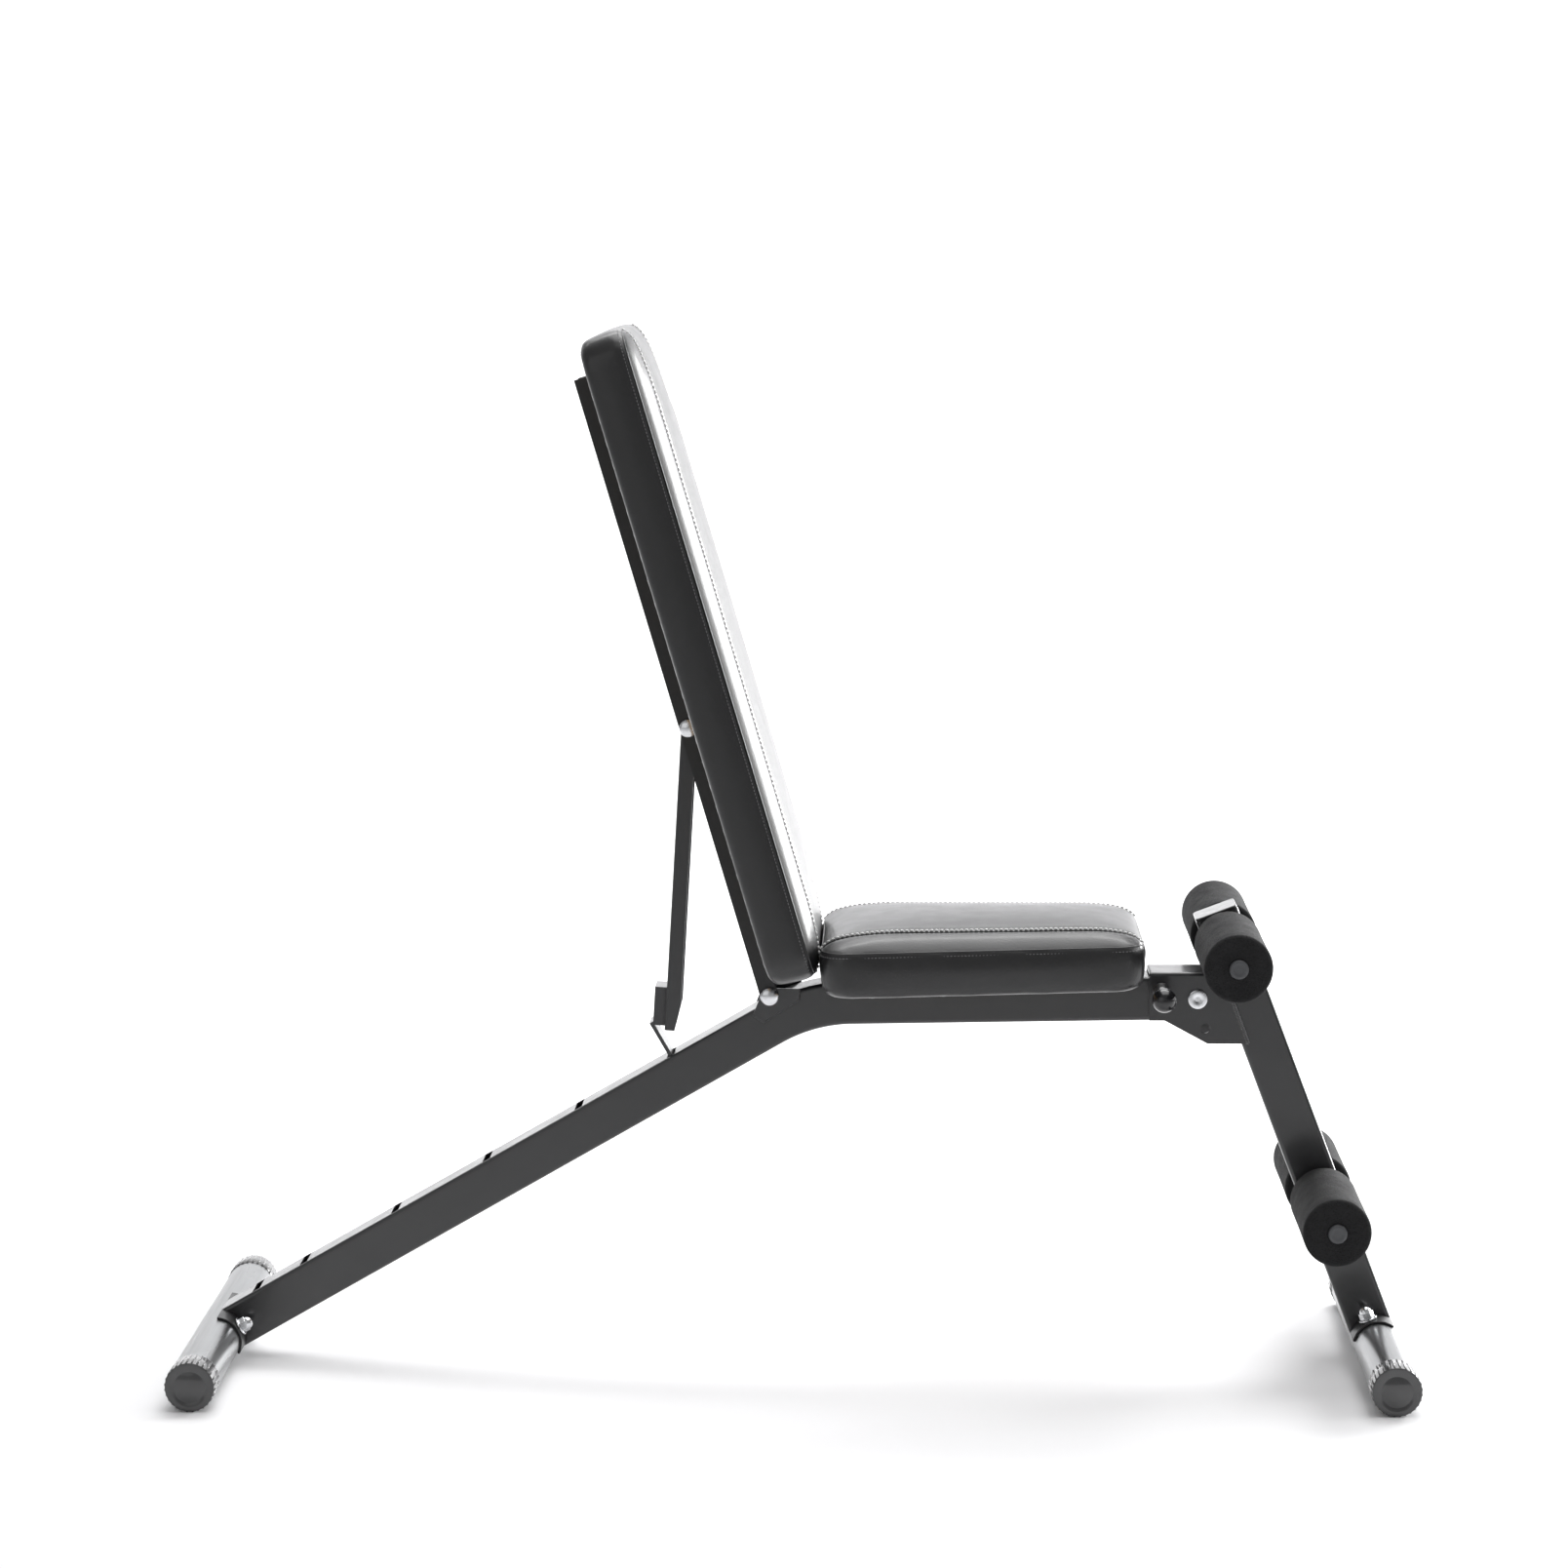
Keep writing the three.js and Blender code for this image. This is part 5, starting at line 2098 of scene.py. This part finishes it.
@dataclass
class Strut:
    """Folded strut with its foot shoe and tongue."""

    palette: Palette
    beads: bpy.types.NodeTree
    frame: MainFrame
    half_width: float = 22.0
    half_depth: float = 7.8
    wall: float = 2.5
    stop: float = 27.0
    shoe_depth: float = 12.0
    shoe_height: float = 40.0
    shoe_rise: float = 31.0
    tongue: float = 4.0
    tongue_reach: float = 5.0

    def build(self) -> None:
        """Make the strut and its shoe."""
        pivot = joint_place("strut_swing")
        x, z = self.frame.mouth(self.frame.slots[0])
        foot = Vector((x, 0.0, z)) * MM
        axes = Axes(pivot, tilt_of(foot, pivot))
        end = self.stop - (pivot - foot).length / MM
        depth = self.half_depth
        section = channel_section(self.half_width, self.half_width - self.wall, depth, self.wall, -depth, 3.2)
        section = [(-x_, y_) for x_, y_ in section][::-1]
        arms = extrude_up("strut_channel", [section], [end, -200.0, -100.0, depth], axes)
        side: Outline = [
            (-depth - 0.1, 0.0),
            (-depth - 0.1, end + 0.05),
            (depth - 5.2, end + 0.05),
            (depth, end + 27),
            (depth, 0.0),
        ]
        side += arc(0, 0, depth, 0, 180, 20)[1:-1]
        carve(arms, [prism("strut_side", side, -30, 30, axes)], "INTERSECT")
        notch = block(
            "strut_notch",
            (-20.0, -self.half_width + self.wall + 0.01, -14.0),
            (20.0, self.half_width - self.wall - 0.01, 20.0),
            axes,
        )
        carve(arms, [notch, drill("strut_hole", 4.35, (-THROUGH, THROUGH), along_y(axes, 0, 0, 0))])
        dress(ease_edges(arms, 0.4, 2, 50.0), self.palette, Finish.PAINT, Body.STRUT, ["strut"])

        bottom = end - self.stop + self.shoe_rise
        back = -depth - 0.15
        shoe = block(
            "strut_foot_shoe",
            (back - self.shoe_depth, -17, bottom),
            (back, 17, bottom + self.shoe_height),
            axes,
        )
        down = Axes(foot, -self.frame.slope)
        tongue = block(
            "strut_tongue", (-self.tongue / 2, -17, -self.tongue_reach), (self.tongue / 2, 17, 40.0), down
        )
        carve(shoe, [tongue], "UNION")
        dress(ease_edges(shoe, 0.7, 2), self.palette, Finish.PAINT, Body.STRUT, ["strut_shoe"])
        for side_name in Side:
            y = side_name.value * 17.0
            path = [axes.point(back + 0.2, y, z_) for z_ in (bottom + 2, bottom + self.shoe_height - 2)]
            paint = self.palette.get(Finish.PAINT)
            bead = SMALL_WELD.lay(f"shoe_weld_{side_name.word}", self.beads, path, paint)
            dress(bead, self.palette, Finish.PAINT, Body.STRUT)


# ---------------------------------------------------------------------------------------
# Front leg


@dataclass
class FrontLeg:
    """Leg tube with its top plug, fold bracket, fold bolt and pull pin."""

    palette: Palette
    fasteners: Fasteners
    beads: bpy.types.NodeTree
    axes: Axes
    fold: Vector
    pin_offset: tuple[float, float]
    side: float = 45.0
    wall: float = 2.0
    corner: float = 4.0
    length: float = 474.0
    saddle_radius: float = 27.0
    bracket_rear: float = 362.0
    sheet: float = 3.0
    cheek_inner: float = 23.1
    web_gap: float = 1.8
    lap: float = 6.0
    storage_hole: tuple[float, float, float] = (8.0, -30.5, 5.0)
    knob_y: float = -78.0
    knob_radius: float = 12.5

    def build(self) -> None:
        """Make every piece of the leg."""
        self.leg_tube()
        self.bracket()
        self.fold_bolt()
        self.pull_pin()

    def leg_tube(self) -> None:
        """Square tube with a curved foot and a plugged top."""
        half = self.side / 2
        loops = [
            rounded(half, half, self.corner, 7),
            rounded(half - self.wall, half - self.wall, self.corner - self.wall, 7),
        ]
        tube = extrude_up("leg_square_tube", loops, [self.length * k / 10 for k in range(11)], self.axes)
        foot = along_y(self.axes, 0, 0, 0)
        tools = [drill("leg_mouth", self.saddle_radius, (-THROUGH, THROUGH), foot, 96)]
        dress(
            ease_edges(carve(tube, tools), 0.35, 2, 50.0), self.palette, Finish.PAINT, Body.LEG, ["leg_tube"]
        )
        plug = extrude_up(
            "leg_end_plug",
            [rounded(22.2, 22.2, self.corner + 0.5)],
            [self.length + 0.2, self.length + 3.2],
            self.axes,
        )
        ease_edges(plug, 1.3, 4)
        dress(plug, self.palette, Finish.BLACK, Body.LEG, ["leg_top_plug"])

    def lap_x(self, z: float) -> float:
        """Row-frame x, in millimetres, of the bracket's lap on the leg at height z.

        Args:
            z: Height in millimetres.

        Returns:
            The x in millimetres.
        """
        tilt = math.radians(-self.axes.tilt)
        origin = self.axes.origin / MM
        return origin.x - (z - origin.z) * math.tan(tilt) - (self.side / 2 - self.lap) / math.cos(tilt)

    def bracket(self) -> None:
        """Folded bracket that straddles the frame, with its weld beads."""
        fx, fz = self.fold.x / MM, self.fold.z / MM
        world = Axes(Vector((0.0, 0.0, 0.0)))
        web_low = fz + self.side / 2 + self.web_gap
        top = web_low + self.sheet
        outer = self.cheek_inner + self.sheet
        radius = 3.6
        section: Outline = [(-outer, fz - 60)] + arc(-outer + radius, top - radius, radius, 180, 90, 5)
        section += arc(outer - radius, top - radius, radius, 90, 0, 5) + [
            (outer, fz - 60), (self.cheek_inner, fz - 60)
        ]
        inside = 0.8
        section += arc(self.cheek_inner - inside, web_low - inside, inside, 0, 90, 3)
        section += arc(
            -self.cheek_inner + inside, web_low - inside, inside, 90, 180, 3
        ) + [(-self.cheek_inner, fz - 60)]
        rows = [[(x, y, z) for y, z in section] for x in (self.bracket_rear, fx + 80)]
        piece = skinned("leg_fold_bracket", rows, world.matrix())
        low = fz - 46.5
        corner = arc(self.bracket_rear + 3, top - 2.9, 3.0, 90, 180, 4)
        outline = [(self.lap_x(low), low), (self.lap_x(top), top + 0.1)] + corner
        outline += [
            (self.bracket_rear, fz - 22.5), (self.bracket_rear + 16, fz - 22.5), (self.bracket_rear + 60, low)
        ]
        carve(piece, [prism("bracket_side", outline, -60, 60, world)], "INTERSECT")
        hole_x, hole_z, hole_r = self.storage_hole
        clear = self.side / 2 + 0.3
        tools = [block("leg_space", (-clear, -clear, 0.0), (60.0, clear, self.length), self.axes)]
        for x, z, r in ((fx, fz, 5.3), (fx + hole_x, fz + hole_z, hole_r)):
            tools.append(drill("bracket_hole", r, (-THROUGH, THROUGH), along_y(world, x, 0, z), 40))
        pin = along_y(world, fx + self.pin_offset[0], 0, fz + self.pin_offset[1], Side.NEAR)
        tools.append(drill("bracket_pin_hole", 4.3, (0.0, THROUGH), pin))
        carve(piece, tools)
        dress(ease_edges(piece, 0.6, 2), self.palette, Finish.PAINT, Body.LEG, ["fold_bracket"])
        for side in Side:
            y = side.value * (self.cheek_inner + 1.6)
            path = [world.point(self.lap_x(z) + 0.6, y, z) for z in (low + 1, low + 20, fz, top - 6)]
            # The bracket welds take the lighter copy of the frame paint: painted highlight.
            bead = WELD.lay(
                f"bracket_weld_{side.word}", self.beads, path, self.palette.get(Finish.WELD_PAINT)
            )
            dress(bead, self.palette, Finish.WELD_PAINT, Body.LEG)

    def fold_bolt(self) -> None:
        """Flat-headed bolt and cap nut on the fold axis."""
        world = Axes(Vector((0.0, 0.0, 0.0)))
        fx, fz = self.fold.x / MM, self.fold.z / MM
        outer = self.cheek_inner + self.sheet + 0.3
        self.fasteners.flat_bolt(
            "fold_bolt_zinc", "fold_bolt", along_y(world, fx, -outer, fz), Body.LEG, 5.0, 10.0, 3.2, 61.0
        )
        self.fasteners.cap_nut(
            "fold_nut_zinc", "fold_nut", along_y(world, fx, outer, fz), Body.LEG, 10.0, 14.0
        )

    def pull_pin(self) -> None:
        """Barrel on the bracket, plunger and ball knob."""
        world = Axes(Vector((0.0, 0.0, 0.0)))
        x, z = self.fold.x / MM + self.pin_offset[0], self.fold.z / MM + self.pin_offset[1]
        low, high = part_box("pin_barrel")
        y0, length = high.y / MM, (high.y - low.y) / MM
        matrix = along_y(world, x, y0, z, Side.NEAR)
        barrel = [(4.35, 0.0), (8.6, 0.0), (9.0, 0.4), (9.0, 3.0), (8.6, 3.4), (7.9, 3.8), (7.8, 4.4)]
        barrel += [(7.8, length - 2.0), (7.5, length - 1.0), (6.8, length), (4.35, length)]
        dress(
            ease_edges(turned("pin_barrel_turned", barrel, matrix, 48, True), 0.0),
            self.palette,
            Finish.BLACK,
            Body.LEG,
            ["pin_barrel"],
        )
        low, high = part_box("lock_pin")
        matrix = along_y(world, x, high.y / MM, z, Side.NEAR)
        reach = (high.y - low.y) / MM
        rod = [(0.0, 0.0), (3.0, 0.0), (3.7, 0.5), (4.0, 1.2), (4.0, reach), (0.0, reach)]
        dress(
            ease_edges(turned("pull_pin_rod", rod, matrix, 40), 0.0),
            self.palette,
            Finish.ZINC,
            Body.PIN,
            ["lock_pin"],
        )
        radius = self.knob_radius
        ball = [(0.0, -radius - 2.5), (6.2, -radius - 2.5), (6.9, -radius - 2.0), (7.0, -radius + 1.0)]
        ball += [
            (radius * math.sin(math.radians(a)), -radius * math.cos(math.radians(a)))
            for a in range(36, 180, 6)
        ]
        ball.append((0.0, radius))
        matrix = along_y(world, x, self.knob_y, z, Side.NEAR)
        dress(
            ease_edges(turned("ball_knob", ball, matrix, 64), 0.0),
            self.palette,
            Finish.BALL,
            Body.PIN,
            ["pin_knob"],
        )


@dataclass
class Rollers:
    """Two cross tubes with grey plugs and four foam rollers."""

    palette: Palette
    axes: Axes
    tube: float = 9.5
    foam: float = 34.2
    bore: float = 9.85

    def build(self) -> None:
        """Make both pairs."""
        for level in ("upper", "lower"):
            centre = joint_place(f"{level}_near_spin")
            axes = Axes(centre, self.axes.tilt)
            y0, y1 = span_y(f"{level}_roller_tube")
            ring = [
                (self.tube - 1.5, y0),
                (self.tube - 0.2, y0),
                (self.tube, y0 + 0.2),
                (self.tube, y1 - 0.2),
                (self.tube - 0.2, y1),
                (self.tube - 1.5, y1),
            ]
            piece = turned(f"{level}_cross_tube", ring, along_y(axes, 0, 0, 0), 48, True)
            dress(ease_edges(piece, 0.0), self.palette, Finish.PAINT, Body.LEG, [f"{level}_roller_tube"])
            for side in Side:
                self.plug(level, side, axes)
                self.roller(level, side, axes)

    def plug(self, level: str, side: Side, axes: Axes) -> None:
        """Grey plug in the end of a cross tube.

        Args:
            level: Upper or lower cross tube.
            side: Which end.
            axes: Working frame of the cross tube.
        """
        node = f"{level}_plug_{side.word}"
        low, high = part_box(node)
        face = (high.y if side is Side.FAR else low.y) / MM - side.value * 2.75
        r = self.tube
        profile = [(0.0, -8.0), (r - 1.9, -8.0), (r - 1.9, 0.0), (r - 0.2, 0.0), (r, 0.3), (r, 1.3)]
        profile += [
            (r - 0.5, 2.1), (r - 1.5, 2.6), (r - 3.6, 2.75), (r - 4.2, 2.35), (r - 5.4, 2.3), (0.0, 2.5)
        ]
        piece = turned(f"{node}_grey", profile, along_y(axes, 0, face, 0, side), 48)
        dress(ease_edges(piece, 0.0), self.palette, Finish.GREY, Body.LEG, [node])

    def roller(self, level: str, side: Side, axes: Axes) -> None:
        """Foam roller with rolled edges.

        Args:
            level: Upper or lower cross tube.
            side: Which side.
            axes: Working frame of the cross tube.
        """
        node = f"{level}_roller_{side.word}"
        y0, y1 = span_y(node)
        r, ease = self.foam, 4.5
        profile = [(self.bore, y0), (self.bore + 1.5, y0)]
        profile += [
            (r - ease + ease * math.sin(math.radians(a)), y0 + ease - ease * math.cos(math.radians(a)))
            for a in range(0, 91, 9)
        ]
        profile += [
            (r - 0.25 * math.sin(math.pi * k / 12), y0 + ease + (y1 - y0 - 2 * ease) * k / 12)
            for k in range(1, 12)
        ]
        profile += [
            (r - ease + ease * math.cos(math.radians(a)), y1 - ease + ease * math.sin(math.radians(a)))
            for a in range(0, 91, 9)
        ]
        profile += [(self.bore + 1.5, y1), (self.bore, y1)]
        piece = turned(f"{node}_foam", profile, along_y(axes, 0, 0, 0), 96, True)
        dress(ease_edges(piece, 0.0), self.palette, Finish.FOAM, f"{node}_body", [node])


# ---------------------------------------------------------------------------------------
# Studio and camera


@dataclass
class Studio:
    """Pale floor, soft lights and the camera."""

    eye: Vector = field(default_factory=lambda: Vector((0.10575, -4.4473, 1.1969)))
    yaw: float = -1.506
    pitch: float = 7.640
    roll: float = 0.175
    focal_share: float = 4500.0 / 1608.0

    def floor(self) -> None:
        """Large pale floor that curves up into a backdrop."""
        bm = bmesh.new()
        profile = [(-12.0, 0.0), (3.5, 0.0)]
        profile += [
            (3.5 + 2.5 * math.sin(math.radians(a)), 2.5 - 2.5 * math.cos(math.radians(a)))
            for a in range(6, 91, 6)
        ]
        profile.append((6.0, 9.0))
        rows = [[bm.verts.new((x, y, z - 0.0003)) for x in (-14.0, 14.0)] for y, z in profile]
        for low, high in zip(rows, rows[1:]):
            bm.faces.new((low[0], low[1], high[1], high[0]))
        mesh = bpy.data.meshes.new("studio_floor")
        bm.to_mesh(mesh)
        bm.free()
        mesh.polygons.foreach_set("use_smooth", [True] * len(mesh.polygons))
        mesh.materials.append(Backdrop().build())
        new_object("studio_floor", mesh)

    def lamp(
        self,
        name: str,
        place: Sequence[float],
        aim: Sequence[float],
        size: tuple[float, float],
        power: float,
    ) -> None:
        """One soft rectangular light.

        Args:
            name: Name of the light.
            place: Where it hangs.
            aim: The point it faces.
            size: Width and height in metres.
            power: Watts.
        """
        data = bpy.data.lights.new(name, "AREA")
        data.shape = "RECTANGLE"
        data.size, data.size_y = size
        data.energy = power
        lamp = bpy.data.objects.new(name, data)
        lamp.location = place
        lamp.rotation_euler = (Vector(aim) - Vector(place)).to_track_quat("-Z", "Y").to_euler()
        bpy.context.scene.collection.objects.link(lamp)

    def light(self) -> None:
        """Bright even surroundings with a large overhead and a right-hand key."""
        world = bpy.data.worlds.new("studio_air")
        world.use_nodes = True
        sky = world.node_tree.nodes["Background"]
        sky.inputs["Color"].default_value = (1.0, 1.0, 1.0, 1.0)
        sky.inputs["Strength"].default_value = 0.30
        bpy.context.scene.world = world
        self.lamp("overhead", (0.3, 1.0, 3.4), (0.0, 0.9, 0.0), (4.4, 2.8), 105.0)
        self.lamp("right_key", (3.4, 0.2, 1.7), (0.1, 0.0, 0.6), (1.4, 2.2), 30.0)
        self.lamp("front_fill", (-2.2, -3.6, 1.9), (0.0, 0.0, 0.5), (3.6, 2.8), 16.0)
        self.lamp("far_right", (3.3, 3.0, 1.1), (-0.1, 0.0, 0.7), (2.4, 2.2), 260.0)
        self.lamp("backdrop_wash", (0.0, 2.4, 4.6), (0.0, 5.6, 1.2), (8.0, 2.0), 300.0)

    def camera(self) -> None:
        """Camera at the chosen viewing angle."""
        data = bpy.data.cameras.new("view")
        data.sensor_width = 36.0
        data.lens = 36.0 * self.focal_share
        data.clip_start, data.clip_end = 0.1, 60.0
        camera = bpy.data.objects.new("view", data)
        a, p = math.radians(self.yaw), math.radians(self.pitch)
        ahead = Vector((math.sin(a) * math.cos(p), math.cos(a) * math.cos(p), -math.sin(p)))
        bank = Matrix.Rotation(math.radians(-self.roll), 3, "Z").to_quaternion()
        turn = ahead.to_track_quat("-Z", "Y") @ bank
        camera.rotation_mode = "QUATERNION"
        camera.rotation_quaternion = turn
        camera.location = self.eye
        bpy.context.scene.collection.objects.link(camera)
        bpy.context.scene.camera = camera

    def build(self) -> None:
        """Set up the studio."""
        self.floor()
        self.light()
        self.camera()
        bpy.context.scene.view_settings.view_transform = "Standard"


# ---------------------------------------------------------------------------------------
# Whole bench


# Places of the pads: underside of the back pad from the pivot line, its lower end along that
# line, the seat pad's rear end in x, and its underside over the frame's centre line.
BACK_PAD_FACE = 10.5
BACK_PAD_START = 17.0
SEAT_PAD_START = 26.0
SEAT_PAD_RISE = 22.8

# Edge profiles of the pads as (height, inset), from the board up to the crown.
BACK_PROFILE = (
    (0, 4), (2, 1.5), (7, 0.6), (41, 0.5), (46, 1.8), (50.5, 6),
    (55, 15), (59.5, 32), (62.5, 52), (65.5, 80), (67, 108),
)
SEAT_PROFILE = (
    (0, 4), (2, 1.5), (7, 0.6), (42, 0.5), (47, 1.8), (51.5, 6),
    (58, 16), (63, 32), (66, 48), (68, 64), (69, 80),
)


def paint_boards(palette: Palette) -> None:
    """Give the plywood boards and hidden seat bolts their finishes.

    Args:
        palette: Finishes.
    """
    choices = {
        "back_board": Finish.WOOD,
        "seat_board": Finish.WOOD,
        "seat_bolt_1": Finish.ZINC,
        "seat_bolt_2": Finish.ZINC,
    }
    for node, finish in choices.items():
        mesh = frame["nodes"][node].data
        mesh.materials.clear()
        mesh.materials.append(palette.get(finish))


def cushion_axes(main_frame: MainFrame) -> dict[Pad, Matrix]:
    """Transforms of both pads, from pad axes in metres to the row frame.

    Args:
        main_frame: The frame that the seat pad lies on.

    Returns:
        One transform for each pad.
    """
    back = Axes(main_frame.pivot, tilt_of(main_frame.pivot, joint_place("strut_swing")))
    flat = back.matrix() @ Matrix.Scale(1 / MM, 4)
    lay = Matrix.Rotation(-math.pi / 2, 4, "Y") @ Matrix.Rotation(math.pi, 4, "X")
    back_matrix = flat @ Matrix.Translation((BACK_PAD_FACE * MM, 0.0, BACK_PAD_START * MM)) @ lay
    pitch = math.radians(main_frame.pitch)
    shift = SEAT_PAD_START - main_frame.bend_x
    x = main_frame.bend_x + shift - SEAT_PAD_RISE * math.sin(pitch)
    z = main_frame.bend_z + shift * math.tan(pitch) + SEAT_PAD_RISE * math.cos(pitch)
    seat_matrix = Matrix.Translation((x * MM, 0.0, z * MM)) @ Matrix.Rotation(-pitch, 4, "Y")
    return {Pad.BACK: back_matrix, Pad.SEAT: seat_matrix}


def main() -> None:
    """Build the bench piece by piece, then the studio."""
    logging.basicConfig(level=logging.INFO, format="%(name)s %(message)s")
    palette = Palette()
    trees = Trees(bead_tree(), cord_tree(), rib_tree())
    fasteners = Fasteners(palette)
    main_frame = MainFrame(palette, fasteners, trees.beads)
    main_frame.build()
    leg_tilt = tilt_of(box_middle("front_foot_tube"), joint_place("upper_near_spin"))
    FloorBar(palette, fasteners, trees.ribs, "rear", Body.FRAME, 90.0 - main_frame.slope).build()
    FloorBar(palette, fasteners, trees.ribs, "front", Body.LEG, leg_tilt).build()
    back_axes = Axes(main_frame.pivot, tilt_of(main_frame.pivot, joint_place("strut_swing")))
    Backrest(palette, fasteners, back_axes).build()
    Strut(palette, trees.beads, main_frame).build()
    leg_axes = Axes(box_middle("front_foot_tube"), leg_tilt)
    FrontLeg(palette, fasteners, trees.beads, leg_axes, main_frame.fold, main_frame.pin_offset).build()
    Rollers(palette, leg_axes).build()
    places = cushion_axes(main_frame)
    Cushion(
        palette,
        trees,
        Pad.BACK,
        places[Pad.BACK],
        length=680.0,
        rear_half=127.0,
        front_half=127.0,
        profile=BACK_PROFILE,
        body=Body.BACKREST,
    ).build()
    Cushion(
        palette,
        trees,
        Pad.SEAT,
        places[Pad.SEAT],
        length=331.0,
        rear_half=132.0,
        front_half=115.0,
        profile=SEAT_PROFILE,
        body=Body.FRAME,
        seam_rear=96.0,
        seam_front=81.0,
    ).build()
    paint_boards(palette)
    Studio().build()


if __name__ == "__main__":
    main()
